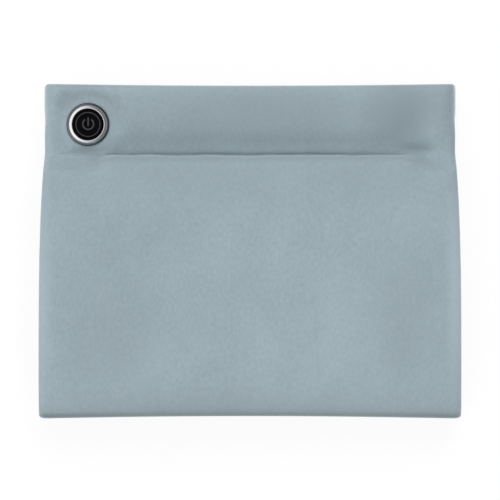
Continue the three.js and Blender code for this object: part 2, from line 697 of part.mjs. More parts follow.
addPiece(
  "heater_crimp",
  block(
    [gateX - crimpHalf, gateX + crimpHalf],
    crimpY,
    [SEAM_RISE - CRIMP_THICKNESS / 2, SEAM_RISE + CRIMP_THICKNESS / 2],
  ),
  whitePlastic,
);

// Power button and controller, built round the button's axis with Z out of the cloth

const controller = new THREE.Group();
controller.position.set(button.x, button.y, button.z);
handWarmer.add(controller);
const addToController = (name, geometry, material) => addPiece(name, geometry, material, controller);

const lipFoot = -BEZEL_LIP;
const capFoot = lipFoot - LAY_GAP - CAP_RIM_HEIGHT;
const clampTop = -COVER - LAY_GAP;
const caseTop = clampTop - CLAMP_THICKNESS - LAY_GAP;
const caseFoot = caseTop - CASE_DEPTH;
const caseInner = clampRadius - CASE_WALL;
const lid = [caseFoot, caseFoot + CASE_LID];
const board = [lid[1] + MATE_GAP, lid[1] + MATE_GAP + BOARD];
const boardTop = board[1] + MATE_GAP;
const barrelFoot = -BARREL_DEPTH;
const switchTop = boardTop + SWITCH_HEIGHT;
const plungerTop = switchTop + PLUNGER_RISE;
const stemFoot = plungerTop + RUN_GAP;

function makeBezel() {
  const middle = (bezelRadius + capBore) / 2;
  const half = (bezelRadius - capBore) / 2;
  const dome = sharesOf(DOME_STEPS).map((share) => {
    const angle = share * Math.PI;
    return [middle + half * Math.cos(angle), BEZEL_EDGE + (BEZEL_RISE - BEZEL_EDGE) * Math.sin(angle)];
  });
  return revolve([
    [bezelRadius, LAY_GAP],
    ...dome,
    [capBore, lipFoot],
    [rimBore, lipFoot],
    [rimBore, barrelFoot],
    [barrelRadius, barrelFoot],
    [barrelRadius, LAY_GAP],
    [bezelRadius, LAY_GAP],
  ]);
}

function makeCap() {
  const side = CAP_DIAMETER / 2;
  const under = CAP_RISE - CAP_FACE;
  const [grooveIn, grooveOut] = [CAP_RING_RADIUS - CAP_RING_WIDTH / 2, CAP_RING_RADIUS + CAP_RING_WIDTH / 2];
  return revolve([
    [0, CAP_RISE],
    [grooveIn, CAP_RISE],
    [grooveIn, CAP_RISE - CAP_RING_DEPTH],
    [grooveOut, CAP_RISE - CAP_RING_DEPTH],
    [grooveOut, CAP_RISE],
    [side - CAP_EDGE, CAP_RISE],
    [side, CAP_RISE - CAP_EDGE],
    [side, capFoot + CAP_RIM_HEIGHT],
    [side + CAP_RIM, capFoot + CAP_RIM_HEIGHT],
    [side + CAP_RIM, capFoot],
    [side - CAP_WALL, capFoot],
    [side - CAP_WALL, under],
    [STEM_RADIUS, under],
    [STEM_RADIUS, stemFoot],
    [0, stemFoot],
  ]);
}

function makeClampRing() {
  const notches = sharesOf(CLAMP_NOTCHES).slice(1).map((share) =>
    block(
      [clampRadius - CLAMP_NOTCH / 2, clampRadius + OVERRUN],
      [-CLAMP_NOTCH / 2, CLAMP_NOTCH / 2],
      [clampTop - CLAMP_THICKNESS - OVERRUN, clampTop + OVERRUN],
    ).rotateZ(share * Math.PI * 2),
  );
  return cut(ring(clothHole, clampRadius, clampTop - CLAMP_THICKNESS, clampTop), ...notches);
}

const bossCircle = caseInner - LAY_GAP - LID_RIM - RUN_GAP - SCREW_HEAD_RADIUS;
const bossRadius = caseInner - bossCircle + RUN_GAP;
const bossFoot = board[1] + MATE_GAP;
const bossPlaces = sharesOf(SCREW_COUNT).slice(1).map((share) => {
  const angle = (share - 1 / (2 * SCREW_COUNT)) * Math.PI * 2;
  return [bossCircle * Math.cos(angle), bossCircle * Math.sin(angle)];
});
const plug = {
  x: [caseInner - LAY_GAP - PLUG_LENGTH, caseInner - LAY_GAP],
  y: [-PLUG_WIDTH / 2, PLUG_WIDTH / 2],
  z: [boardTop, boardTop + PLUG_HEIGHT],
};

function makeCasing() {
  const shell = join(
    ring(clothHole, clampRadius, caseTop - CASE_WALL, caseTop),
    ring(caseInner, clampRadius, caseFoot, caseTop),
    ...bossPlaces.map(([x, y]) => rod(bossRadius, bossFoot, barrelFoot - LAY_GAP, x, y)),
  );
  const pilots = bossPlaces.map(([x, y]) =>
    rod(SCREW_RADIUS + RUN_GAP, bossFoot - OVERRUN, bossFoot + SCREW_GRIP + RUN_GAP, x, y));
  const cableSlot = block([caseInner - OVERRUN, clampRadius + OVERRUN], plug.y, plug.z);
  return cut(shell, ...pilots, cableSlot);
}

function makeLid() {
  const disc = rod(caseInner - LAY_GAP, ...lid, 0, 0, RING_SIDES);
  const holes = bossPlaces.flatMap(([x, y]) => [
    rod(SCREW_RADIUS + RUN_GAP, lid[0] - OVERRUN, lid[1] + OVERRUN, x, y),
    rod(SCREW_HEAD_RADIUS + RUN_GAP, lid[0] - OVERRUN, lid[0] + SCREW_HEAD + MATE_GAP, x, y),
  ]);
  return cut(disc, ...holes);
}

function makeBoard() {
  const disc = rod(caseInner - LAY_GAP, ...board, 0, 0, RING_SIDES);
  return cut(disc, ...bossPlaces.map(([x, y]) =>
    rod(SCREW_RADIUS + RUN_GAP, board[0] - OVERRUN, board[1] + OVERRUN, x, y)));
}

function makeSwitchBody() {
  const half = SWITCH_SIDE / 2;
  const body = block([-half, half], [-half, half], [boardTop, switchTop]);
  const depth = PLUNGER_HOLD + BUTTON_TRAVEL + RUN_GAP;
  return cut(body, rod(PLUNGER_RADIUS + RUN_GAP, switchTop - depth, switchTop + OVERRUN));
}

addToController("button_bezel", makeBezel(), chrome);
addToController("button_cap", makeCap(), blackGloss);
addToController("switch_plunger", rod(PLUNGER_RADIUS, switchTop - PLUNGER_HOLD, plungerTop), blackPlastic);
addToController("switch_body", makeSwitchBody(), blackPlastic);
addToController("clamp_ring", makeClampRing(), blackPlastic);
addToController("controller_housing", makeCasing(), blackPlastic);
addToController("controller_rear_cover", makeLid(), blackPlastic);
addToController("controller_board", makeBoard(), boardGreen);
addToController(
  "status_led",
  block(
    [-LED_SIDE / 2, LED_SIDE / 2],
    [-LED_FROM_AXIS - LED_SIDE / 2, -LED_FROM_AXIS + LED_SIDE / 2],
    [boardTop, boardTop + LED_HEIGHT],
  ),
  lampClear,
);
addToController("controller_connector", block(plug.x, plug.y, plug.z), whitePlastic);
bossPlaces.forEach(([x, y], i) => {
  const headTop = lid[0] + SCREW_HEAD;
  const screw = join(
    rod(SCREW_HEAD_RADIUS, lid[0], headTop, x, y),
    rod(SCREW_RADIUS, headTop - MATE_GAP, bossFoot + SCREW_GRIP, x, y),
  );
  addToController("controller_screw_" + (i + 1), screw, steel);
});

// Cables, each held by its two ends

const plugFace = button.x + plug.x[1] + LAY_GAP;
const plugZ = button.z + (plug.z[0] + plug.z[1]) / 2;
const cableOffset = PLUG_WIDTH / 4;
const casingSide = button.x + clampRadius;

addPiece(
  "heater_cable",
  cableAlong([
    [gateX, crimpY[1] + LAY_GAP, SEAM_RISE],
    [gateX, BAND_BOTTOM + BAND_PADDING_FOOT, SEAM_RISE],
    [gateX - CABLE_LEAN, BAND_BOTTOM + CABLE_RISE, (SEAM_RISE + plugZ) / 2],
    [casingSide + CABLE_LEAD, button.y - cableOffset - CABLE_DIP, plugZ],
    [casingSide, button.y - cableOffset, plugZ],
    [plugFace, button.y - cableOffset, plugZ],
  ], CABLE_RADIUS),
  cableSleeve,
);
const [packBend, casingBend] = CABLE_SWEEP_SHARES.map((share) => pack.x0 - (pack.x0 - casingSide) * share);
addPiece(
  "battery_cable",
  cableAlong([
    [plugFace, button.y + cableOffset, plugZ],
    [casingSide + OVERRUN, button.y + cableOffset, plugZ],
    [casingBend, button.y + cableOffset + 2 * CABLE_DIP, plugZ],
    [packBend, pack.y, pack.z],
    [pack.x0 - PACK_WALL, pack.y, pack.z],
    [pack.x0 - LAY_GAP, pack.y, pack.z],
  ], CABLE_RADIUS),
  cableSleeve,
);

// Battery pack: two shells with a lip, two cells, the charging board and its socket

const packInner = { x0: pack.x0 + PACK_WALL, x1: pack.x1 - PACK_WALL };
const innerHeight = PACK_THICKNESS - 2 * PACK_WALL;
const innerWidth = PACK_WIDTH - 2 * PACK_WALL;

function packHalf(side) {
  const hollow = cut(packBar(0, pack.x0, pack.x1), packBar(PACK_WALL, packInner.x0, packInner.x1));
  const wide = PACK_WIDTH;
  const tall = PACK_THICKNESS;
  const zRange = side > 0 ? [pack.z + MATE_GAP / 2, pack.z + tall] : [pack.z - tall, pack.z - MATE_GAP / 2];
  const region = block([pack.x0 - OVERRUN, pack.x1 + OVERRUN], [pack.y - wide, pack.y + wide], zRange);
  const lipWall = PACK_WALL / 2;
  const lipRegion = block(
    [pack.x0 - OVERRUN, pack.x1 + OVERRUN],
    [pack.y - wide, pack.y + wide],
    [pack.z - PACK_LIP, pack.z + PACK_LIP],
  );
  const lipOf = (grow) => keepInside(
    cut(
      packBar(lipWall - grow, pack.x0 + lipWall - grow, pack.x1 - lipWall + grow),
      packBar(PACK_WALL + grow, packInner.x0 + grow, packInner.x1 - grow),
    ),
    lipRegion,
  );
  const shell = keepInside(hollow, region);
  const usb = barAlongX(
    roundedOutline(USB_WIDTH + 2 * RUN_GAP, USB_HEIGHT + 2 * RUN_GAP, USB_HEIGHT / 2 + RUN_GAP),
    packInner.x1 - OVERRUN, pack.x1 + OVERRUN, pack.y, pack.z,
  );
  const lead = rod(CABLE_RADIUS, 0, PACK_WALL + 2 * OVERRUN).rotateY(Math.PI / 2)
    .translate(pack.x0 - OVERRUN, pack.y, pack.z);
  const lipped = side > 0 ? cut(shell, lipOf(MATE_GAP)) : join(shell, lipOf(0));
  return cut(lipped, usb, lead);
}

addPiece("battery_case_front", packHalf(1), blackPlastic);
addPiece("battery_case_rear", packHalf(-1), blackPlastic);

const chargeBoardX = packInner.x1 - RUN_GAP - CHARGE_BOARD_LENGTH;
const cellSpace = chargeBoardX - packInner.x0 - 3 * LAY_GAP;
const [cellWidth, cellHeight] = [innerWidth - 2 * LAY_GAP, innerHeight - 2 * LAY_GAP];
const cellOutline = roundedOutline(cellWidth, cellHeight, PACK_CORNER - PACK_WALL);
for (let i = 0; i < 2; i++) {
  const x0 = packInner.x0 + LAY_GAP + i * (cellSpace / 2 + LAY_GAP);
  const cell = barAlongX(cellOutline, x0, x0 + cellSpace / 2, pack.y, pack.z);
  addPiece("battery_cell_" + (i + 1), cell, cellWrap);
}
const chargeBoardTop = pack.z - USB_HEIGHT / 2 - MATE_GAP;
const boardHalf = innerWidth / 2 - CELL_CORNER;
addPiece(
  "charge_board",
  block(
    [chargeBoardX, packInner.x1 - RUN_GAP],
    [pack.y - boardHalf, pack.y + boardHalf],
    [chargeBoardTop - BOARD, chargeBoardTop],
  ),
  boardGreen,
);

function makeUsbSocket() {
  const outline = roundedOutline(USB_WIDTH, USB_HEIGHT, USB_HEIGHT / 2);
  const bore = roundedOutline(USB_WIDTH - 2 * USB_WALL, USB_HEIGHT - 2 * USB_WALL, USB_HEIGHT / 2 - USB_WALL);
  const mouth = pack.x1 - RUN_GAP;
  const back = mouth - USB_DEPTH;
  const shell = barAlongX(outline, back, mouth, pack.y, pack.z);
  const hollow = barAlongX(bore, back + USB_TONGUE_BACK, mouth + OVERRUN, pack.y, pack.z);
  const tongue = block(
    [back, mouth - USB_TONGUE_BACK],
    [pack.y - USB_TONGUE_WIDTH / 2, pack.y + USB_TONGUE_WIDTH / 2],
    [pack.z - USB_TONGUE / 2, pack.z + USB_TONGUE / 2],
  );
  return join(cut(shell, hollow), tongue);
}

addPiece("usb_c_socket", makeUsbSocket(), steel);

// Zip: two tapes with their rows of teeth, end stops, the slider and its pull

const zip = new THREE.Group();
zip.position.set(0, slopeMiddle.y, slopeMiddle.z);
zip.rotation.x = slopeAngle;
handWarmer.add(zip);
const addToZip = (name, geometry, material) => addPiece(name, geometry, material, zip);

const tapeFace = [COVER + LAY_GAP, COVER + LAY_GAP + ZIP_TAPE];
const toothFace = [tapeFace[1] - TOOTH_HEIGHT, tapeFace[1]];
const rowTip = ROW_GAP / 2;
const rowRoot = rowTip + TOOTH_LENGTH;
const stopInset = ZIP_LENGTH / 2 - STOP_LENGTH;

function makeTape(way) {
  const ends = ZIP_LENGTH / 2 + STOP_LENGTH;
  const spanY = (from, to) => (way > 0 ? [from, to] : [-to, -from]);
  const edge = rowRoot - TOOTH_HOLD;
  const tape = block([-ends, ends], spanY(edge, edge + ZIP_TAPE_WIDTH), tapeFace);
  const room = 2 * (stopInset - STOP_LENGTH);
  const count = Math.floor((room - TOOTH_PITCH / 2) / TOOTH_PITCH);
  const start = -(count * TOOTH_PITCH) / 2 + (way * TOOTH_PITCH) / 4;
  const teeth = Array.from({ length: count }, (_, i) => {
    const x = start + i * TOOTH_PITCH + TOOTH_PITCH / 2;
    const neck = TOOTH_WIDTH / 4;
    const outline = new THREE.Shape();
    outline.moveTo(-neck, rowRoot);
    outline.lineTo(-TOOTH_WIDTH / 2, rowTip + TOOTH_LENGTH / 3);
    outline.lineTo(-neck, rowTip);
    outline.lineTo(neck, rowTip);
    outline.lineTo(TOOTH_WIDTH / 2, rowTip + TOOTH_LENGTH / 3);
    outline.lineTo(neck, rowRoot);
    return extrude(outline, TOOTH_HEIGHT).translate(x, 0, toothFace[0]).scale(1, way, 1);
  });
  return join(tape, ...teeth);
}

addToZip("zip_tape_upper", makeTape(1), blackPlastic);
addToZip("zip_tape_lower", makeTape(-1), blackPlastic);

for (const [name, way] of [["left", -1], ["right", 1]]) {
  const xs = way > 0 ? [stopInset, stopInset + STOP_LENGTH] : [-stopInset - STOP_LENGTH, -stopInset];
  addToZip(
    "zip_stop_" + name,
    block(xs, [-rowRoot, rowRoot], [toothFace[0], tapeFace[0] - MATE_GAP]),
    steel,
  );
}

// The slider starts at the left stop, where the zip is closed.
const slider = new THREE.Group();
slider.position.x = -stopInset + RUN_GAP + SLIDER_LENGTH / 2;
zip.add(slider);
const plateOuter = [-LAY_GAP - SLIDER_PLATE, -LAY_GAP];
const plateInner = [tapeFace[1] + RUN_GAP, tapeFace[1] + RUN_GAP + SLIDER_PLATE];
const pullBarReach = Math.hypot(PULL_BAR_RADIUS, PULL_THICKNESS / 2);
const pullBarZ = plateOuter[0] - RUN_GAP - pullBarReach;
const bridgeUnder = pullBarZ - pullBarReach - RUN_GAP;

function makeSlider() {
  const outline = roundedOutline(SLIDER_LENGTH, SLIDER_WIDTH, PULL_CORNER);
  const plate = ([z0, z1]) => extrude(outline, z1 - z0).translate(0, 0, z0);
  const half = SLIDER_WIDTH / 2;
  const long = [-SLIDER_LENGTH / 2 + PULL_CORNER, SLIDER_LENGTH / 2 - PULL_CORNER];
  const flanges = [-1, 1].map((way) => {
    const ys = way > 0 ? [half - SLIDER_FLANGE, half] : [-half, SLIDER_FLANGE - half];
    return block(long, ys, [plateOuter[0], tapeFace[0] - RUN_GAP]);
  });
  const post = block(
    [-SLIDER_POST_LENGTH / 2, SLIDER_POST_LENGTH / 2],
    [-SLIDER_POST / 2, SLIDER_POST / 2],
    [plateOuter[0], plateInner[1]],
  );
  const legs = [-1, 1].map((way) => {
    const inner = BRIDGE_LENGTH / 2 - BRIDGE_BAR;
    const xs = way > 0 ? [inner, BRIDGE_LENGTH / 2] : [-BRIDGE_LENGTH / 2, -inner];
    return block(xs, [-BRIDGE_WIDTH / 2, BRIDGE_WIDTH / 2], [bridgeUnder - BRIDGE_BAR, plateOuter[1]]);
  });
  const bar = block(
    [-BRIDGE_LENGTH / 2, BRIDGE_LENGTH / 2],
    [-BRIDGE_WIDTH / 2, BRIDGE_WIDTH / 2],
    [bridgeUnder - BRIDGE_BAR, bridgeUnder],
  );
  return join(plate(plateOuter), plate(plateInner), ...flanges, post, ...legs, bar);
}

function makePull() {
  const outline = roundedOutline(PULL_LENGTH, PULL_WIDTH, PULL_CORNER);
  const window = new THREE.Path();
  const near = -PULL_LENGTH / 2 + 2 * PULL_BAR_RADIUS;
  const half = PULL_WIDTH / 2 - PULL_ARM;
  window.moveTo(near, -half);
  window.lineTo(near, half);
  window.lineTo(near + PULL_WINDOW, half);
  window.lineTo(near + PULL_WINDOW, -half);
  outline.holes.push(window);
  const shift = PULL_LENGTH / 2 - PULL_BAR_RADIUS;
  return extrude(outline, PULL_THICKNESS).translate(shift, 0, pullBarZ - PULL_THICKNESS / 2);
}

addPiece("zip_slider", makeSlider(), steel, slider);
addPiece("zip_pull", makePull(), steel, slider);

export default handWarmer;
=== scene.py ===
import bisect
import math

import bmesh
import bpy
from mathutils import Matrix, Vector, noise


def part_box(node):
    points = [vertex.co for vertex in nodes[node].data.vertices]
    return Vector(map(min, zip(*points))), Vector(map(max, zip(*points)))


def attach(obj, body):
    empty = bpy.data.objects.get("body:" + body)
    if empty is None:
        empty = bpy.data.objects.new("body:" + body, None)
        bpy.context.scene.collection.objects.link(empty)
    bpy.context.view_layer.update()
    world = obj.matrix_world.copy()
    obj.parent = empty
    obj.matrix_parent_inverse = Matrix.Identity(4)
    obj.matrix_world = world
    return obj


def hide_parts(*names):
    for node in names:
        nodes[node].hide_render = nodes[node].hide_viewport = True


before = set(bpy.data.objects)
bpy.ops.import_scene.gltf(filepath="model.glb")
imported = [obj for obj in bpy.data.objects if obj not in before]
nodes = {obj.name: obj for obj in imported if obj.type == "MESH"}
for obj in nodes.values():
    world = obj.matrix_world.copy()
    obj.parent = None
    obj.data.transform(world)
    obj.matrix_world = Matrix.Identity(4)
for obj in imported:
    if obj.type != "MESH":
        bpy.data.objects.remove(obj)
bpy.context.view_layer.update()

# Stage: the muff lies on its back on a pale floor, and the camera looks straight down on its front
# through a long lens, as in the photograph.
mm = 0.001
picture_width = 320.3 * mm
camera_lens = 400.0
camera_sensor = 36.0
camera_reach = 20.0
camera_centre = (0.0, 0.5 * mm)
seen_depth = 20 * mm
floor_half = 3.0
floor_drop = 0.2 * mm
floor_colour = (0.93, 0.93, 0.93, 1.0)
floor_glow_share = 0.90

camera_data = bpy.data.cameras.new("camera")
camera_data.lens = camera_lens
camera_data.sensor_width = camera_sensor
camera = bpy.data.objects.new("camera", camera_data)
bpy.context.scene.collection.objects.link(camera)
camera_distance = picture_width * camera_lens / camera_sensor + seen_depth
camera.location = (*camera_centre, camera_distance)
camera_data.clip_end = camera_reach
bpy.context.scene.camera = camera
bpy.context.scene.view_settings.view_transform = "Standard"


def new_material(name):
    material = bpy.data.materials.new(name)
    material.use_nodes = True
    material.node_tree.nodes.clear()
    return material, material.node_tree


def add_node(tree, kind, **settings):
    node = tree.nodes.new(kind)
    for key, value in settings.items():
        setattr(node, key, value)
    return node


def link(tree, source, output, target, socket):
    tree.links.new(source.outputs[output], target.inputs[socket])


def finished(name, shape, smooth=True):
    """Makes a finished shape an object of the scene."""
    for face in shape.faces:
        face.smooth = smooth
    data = bpy.data.meshes.new(name)
    shape.to_mesh(data)
    shape.free()
    made = bpy.data.objects.new(name, data)
    bpy.context.scene.collection.objects.link(made)
    return made


floor_shape = bmesh.new()
bmesh.ops.create_grid(floor_shape, x_segments=1, y_segments=1, size=floor_half)
bmesh.ops.translate(floor_shape, verts=floor_shape.verts, vec=(0, 0, -floor_drop))
floor = finished("floor", floor_shape, smooth=False)
floor_finish, tree = new_material("pale_floor")
floor_output = add_node(tree, "ShaderNodeOutputMaterial")
floor_matt = add_node(tree, "ShaderNodeBsdfDiffuse")
floor_matt.inputs["Color"].default_value = floor_colour
floor_glow = add_node(tree, "ShaderNodeEmission")
floor_rays = add_node(tree, "ShaderNodeLightPath")
seen_or_mirrored = add_node(tree, "ShaderNodeMath", operation="MAXIMUM")
link(tree, floor_rays, "Is Camera Ray", seen_or_mirrored, 0)
link(tree, floor_rays, "Is Glossy Ray", seen_or_mirrored, 1)
seen_at_all = add_node(tree, "ShaderNodeMath", operation="MAXIMUM")
link(tree, seen_or_mirrored, 0, seen_at_all, 0)
link(tree, floor_rays, "Is Transmission Ray", seen_at_all, 1)
glow_amount = add_node(tree, "ShaderNodeMath", operation="MULTIPLY")
glow_amount.inputs[1].default_value = floor_glow_share
link(tree, seen_at_all, 0, glow_amount, 0)
floor_mix = add_node(tree, "ShaderNodeMixShader")
link(tree, glow_amount, 0, floor_mix, 0)
link(tree, floor_matt, 0, floor_mix, 1)
link(tree, floor_glow, 0, floor_mix, 2)
floor_under = add_node(tree, "ShaderNodeBsdfTransparent")
floor_side = add_node(tree, "ShaderNodeNewGeometry")
floor_one_sided = add_node(tree, "ShaderNodeMixShader")
link(tree, floor_side, "Backfacing", floor_one_sided, 0)
link(tree, floor_mix, 0, floor_one_sided, 1)
link(tree, floor_under, 0, floor_one_sided, 2)
link(tree, floor_one_sided, 0, floor_output, "Surface")
floor.data.materials.append(floor_finish)

# Light: a wide soft lamp beyond the muff's top edge and a weaker one below it at the right. The chrome
# doesn't show them. It shows the pale floor and a room that is white to the left and grey to the right.
lamp_table = (
    ("upper_lamp", (0.35, 1.35, 1.90), 1.6, 34.0),
    ("lower_lamp", (0.80, -1.30, 1.70), 1.2, 11.0),
)
for lamp_name, lamp_place, lamp_size, lamp_power in lamp_table:
    lamp_data = bpy.data.lights.new(lamp_name, "AREA")
    lamp_data.shape = "SQUARE"
    lamp_data.size = lamp_size
    lamp_data.energy = lamp_power
    lamp = bpy.data.objects.new(lamp_name, lamp_data)
    lamp.visible_glossy = False
    bpy.context.scene.collection.objects.link(lamp)
    lamp.location = lamp_place
    lamp.rotation_mode = "QUATERNION"
    lamp.rotation_quaternion = (-Vector(lamp_place)).to_track_quat("-Z", "Y")

room_bright_way = (-0.95, 0.0, 0.31)
room_fade = (-0.35, 0.85)
room_low = (0.20, 0.205, 0.21, 1.0)
room_high = (1.15, 1.15, 1.15, 1.0)
room = bpy.data.worlds.new("room")
bpy.context.scene.world = room
room.use_nodes = True
tree = room.node_tree
tree.nodes.clear()
room_output = add_node(tree, "ShaderNodeOutputWorld")
room_light = add_node(tree, "ShaderNodeBackground")
room_way = add_node(tree, "ShaderNodeTexCoord")
room_dot = add_node(tree, "ShaderNodeVectorMath", operation="DOT_PRODUCT")
room_dot.inputs[1].default_value = room_bright_way
room_range = add_node(tree, "ShaderNodeMapRange", interpolation_type="SMOOTHSTEP")
room_range.inputs["From Min"].default_value, room_range.inputs["From Max"].default_value = room_fade
room_mix = add_node(tree, "ShaderNodeMix", data_type="RGBA")
room_mix.inputs["A"].default_value = room_low
room_mix.inputs["B"].default_value = room_high
link(tree, room_way, "Generated", room_dot, 0)
link(tree, room_dot, "Value", room_range, "Value")
link(tree, room_range, "Result", room_mix, "Factor")
link(tree, room_mix, "Result", room_light, "Color")
link(tree, room_light, 0, room_output, "Surface")

# Plush front panel: one piece of short-pile plush over the band and the hand tunnel, drawn down in a
# stitched pinch between them, turned in round both cuffs and held under the button's ring.
muff_half = 135.0
band_half = 131.3
top_y, top_z, top_turn = 106.5, 10.0, 7.0
bottom_y, bottom_z = -106.5, 20.0
seam_y, seam_z = 61.3, 14.0
tunnel_top_y = 60.9
band_foot_y = 61.4
tunnel_thick = 48.0
band_thick = 34.0
cover = 1.8
wall = 9.3
inner_depth = 8.0
rim_radius = wall / 2
rim_centre = muff_half - rim_radius
hem = 15.0
layer_gap = 0.15
grid_step = 3.0
fine_steps = 400
least_rows = 3
pinch_rows = (0.7, 1.7)
button_centre = Vector((-103.5, 80.7))
button_seat = 28.0
cloth_hole = 12.35

# Each half of the muff is a padded face at its level, with a turned edge above ("high") and below
# ("low"). An edge has its place, how far it turns in, how square its turn is, and rows set close to it.
halves = {
    "tunnel_front": {
        "side": 1, "level": tunnel_thick,
        "high": {"y": tunnel_top_y, "z": seam_z, "turn": 11.0, "power": 4.0, "close": pinch_rows},
        "low": {"y": bottom_y, "z": bottom_z, "turn": 15.0, "power": 6.5},
    },
    "tunnel_rear": {
        "side": -1, "level": 0.0,
        "high": {"y": tunnel_top_y, "z": seam_z, "turn": 12.5, "power": 2.0},
        "low": {"y": bottom_y, "z": bottom_z, "turn": 12.5, "power": 2.0},
    },
    "band_front": {
        "side": 1, "level": band_thick,
        "high": {"y": top_y, "z": top_z, "turn": top_turn, "power": 5.0},
        "low": {"y": band_foot_y, "z": seam_z, "turn": 37.5, "power": 1.8, "close": pinch_rows},
    },
    "band_rear": {
        "side": -1, "level": 0.0,
        "high": {"y": top_y, "z": top_z, "turn": 17.0, "power": 0},
        "low": {"y": band_foot_y, "z": seam_z, "turn": 14.0, "power": 2.0},
    },
}


def clamp(value, low=0.0, high=1.0):
    return min(max(value, low), high)


def ease(share):
    return share * share * (3 - 2 * share)


def turn_point(end, rise, depth, theta):
    """How far a padded edge has come in along Y and up along Z, at an angle from 0 at its seam."""
    reach = 2 / end["power"]
    inward = end["turn"] - (end["turn"] - depth) * math.cos(theta) ** reach
    return inward, max((rise - depth) * math.sin(theta) ** reach, layer_gap)


def even_angles(end, rise, step):
    """Angles that put the rows of a turned edge at even steps along the plush, each with its share."""
    fine = [math.pi / 2 * ease(i / fine_steps) for i in range(fine_steps + 1)]
    points = [turn_point(end, rise, 0, theta) for theta in fine]
    run = [0.0]
    for a, b in zip(points, points[1:]):
        run.append(run[-1] + math.hypot(b[0] - a[0], b[1] - a[1]))
    length = run[-1]
    count = max(round(length / step), least_rows)
    wanted = [length * i / count for i in range(count + 1)]
    wanted[1:1] = end.get("close", ())
    return [(fine[min(bisect.bisect_left(run, w), fine_steps)], w / length) for w in wanted]


def rows_of(name, step=grid_step):
    """Rows of a half from its upper seam down to its lower one. An edge of power 0 is a flat slope."""
    half = halves[name]
    rows = []
    for end_name in ("high", "low"):
        end = half[end_name]
        rise = abs(half["level"] - end["z"])
        if end["power"]:
            turn = [
                {"half": half, "end": end_name, "angle": angle, "run": run}
                for angle, run in even_angles(end, rise, step)
            ]
        else:
            turn = [{"half": half, "end": end_name, "share": share} for share in slope_shares]
        if end_name == "high":
            start = end["y"] - end["turn"]
            rows += turn
        else:
            stop = end["y"] + end["turn"]
            count = max(round((start - stop) / step), 1)
            rows += [{"half": half, "y": start + (stop - start) * i / count} for i in range(1, count)]
            rows += reversed(turn)
    return rows


def section_point(row, depth):
    """Y and Z of a row of a half, at a depth under the plush's face."""
    half = row["half"]
    inner_level = half["level"] - half["side"] * depth
    if "y" in row:
        return row["y"], inner_level
    end = half[row["end"]]
    inward = -1 if row["end"] == "high" else 1
    rise = abs(half["level"] - end["z"])
    if "share" in row:
        slope = math.atan2(rise, end["turn"])
        foot = (end["y"] + inward * (end["turn"] + depth * math.tan(slope / 2)), inner_level)
        head = (end["y"] + inward * depth / math.sin(slope), end["z"] + half["side"] * layer_gap)
        return tuple(head[k] + (foot[k] - head[k]) * row["share"] for k in (0, 1))
    along, lift = turn_point(end, rise, depth, row["angle"])
    return end["y"] + inward * along, end["z"] + half["side"] * lift


band_flare = 0.55
flare_start = 15.0
flare_reach = 16.0
widest_y = -85.0
widening_power = 3.4


def width_share(y):
    """The muff's width at a height, as a share of its widest: it narrows from the cuffs to the band."""
    below = clamp((seam_y - y) / (seam_y - widest_y))
    flare = band_flare * ease(clamp((y - seam_y - flare_start) / flare_reach))
    narrow = (band_half + flare) / muff_half
    return narrow + (1 - narrow) * (1 - (1 - below) ** widening_power)


# How high each edge lies at its ends, and how far it dips, or below 0 rises, in its middle.
top_bow, seam_bow, bottom_bow = (0.45, 1.15), (1.2, 1.3), (-0.7, -1.6)
seam_fade = 3
wander_waves = ((0.35, 17, (3.1, 0.4)), (0.2, 6, (8.7, 1.9)))


def edge_drift(x, y):
    """The pinch and both long edges bow a little, and the pinch wanders as hand-guided stitching does."""
    bow = 1 - (x / band_half) ** 2
    top, seam, bottom = (ends - depth * bow for ends, depth in (top_bow, seam_bow, bottom_bow))
    for height, length, seed in wander_waves:
        seam += height * noise.noise(Vector((x / length, *seed)))
    if y > seam_y:
        share = (y - seam_y) / (top_y - seam_y)
        return (1 - share) * seam + share * top
    share = clamp((seam_y - y) / (seam_y - bottom_y))
    return ease(clamp(1 - share * seam_fade)) * seam + share * bottom


pinch_middle = 6.0
pinch_half = 90.0
pinch_fade = 24.0
pinch_end_lift = 18.5
pinch_end_rise = 1.5
pinch_end_spread = 20.0
pinch_end_climb = 9.0
pinch_end_reach = 14.0
pinch_end_hold = 6.0
groove_depth = 0.95
groove_offset = 0.2
groove_above = 0.8
groove_below = 1.7
groove_firm_half = 50.0
groove_slack_reach = 45.0
groove_slack_share = 0.65


def stitched_share(across):
    """How firmly the pinch is stitched at a place across the muff: 1 in the middle, 0 at both ends."""
    return 1 - ease(clamp((abs(across - pinch_middle) - pinch_half) / pinch_fade))


def groove_at(across, y):
    """How deep the stitches draw the plush in along the pinch. They are tightest in its middle."""
    off = y - seam_y - groove_offset
    slack = ease(clamp((abs(across) - groove_firm_half) / groove_slack_reach))
    tight = stitched_share(across) * (1 - groove_slack_share * slack)
    width = groove_above if off > 0 else groove_below
    return groove_depth * tight * math.exp(-(off / width) ** 2)


def end_level(y):
    """Height over the pinch that the plush keeps where the stitching has run out, and how firmly."""
    beside = y - seam_y
    if beside > 0:
        level = pinch_end_lift + pinch_end_rise * ease(clamp(beside / pinch_end_spread))
        return level, float(y < top_y - top_turn)
    hold = 1 - ease(clamp((-beside - pinch_end_hold) / pinch_end_reach))
    return pinch_end_lift + pinch_end_climb * ease(clamp(-beside / pinch_end_reach)), hold


def spread_rows(row, x, y):
    """Where the stitching has run out, the rows of the turns beside the pinch lie evenly apart."""
    half, end_name = row["half"], row.get("end")
    if "run" not in row or "close" not in half[end_name]:
        return y
    end = half[end_name]
    inward = -1 if end_name == "high" else 1
    even = end["y"] + inward * end["turn"] * row["run"]
    return even + (y - even) * stitched_share(x * width_share(y))


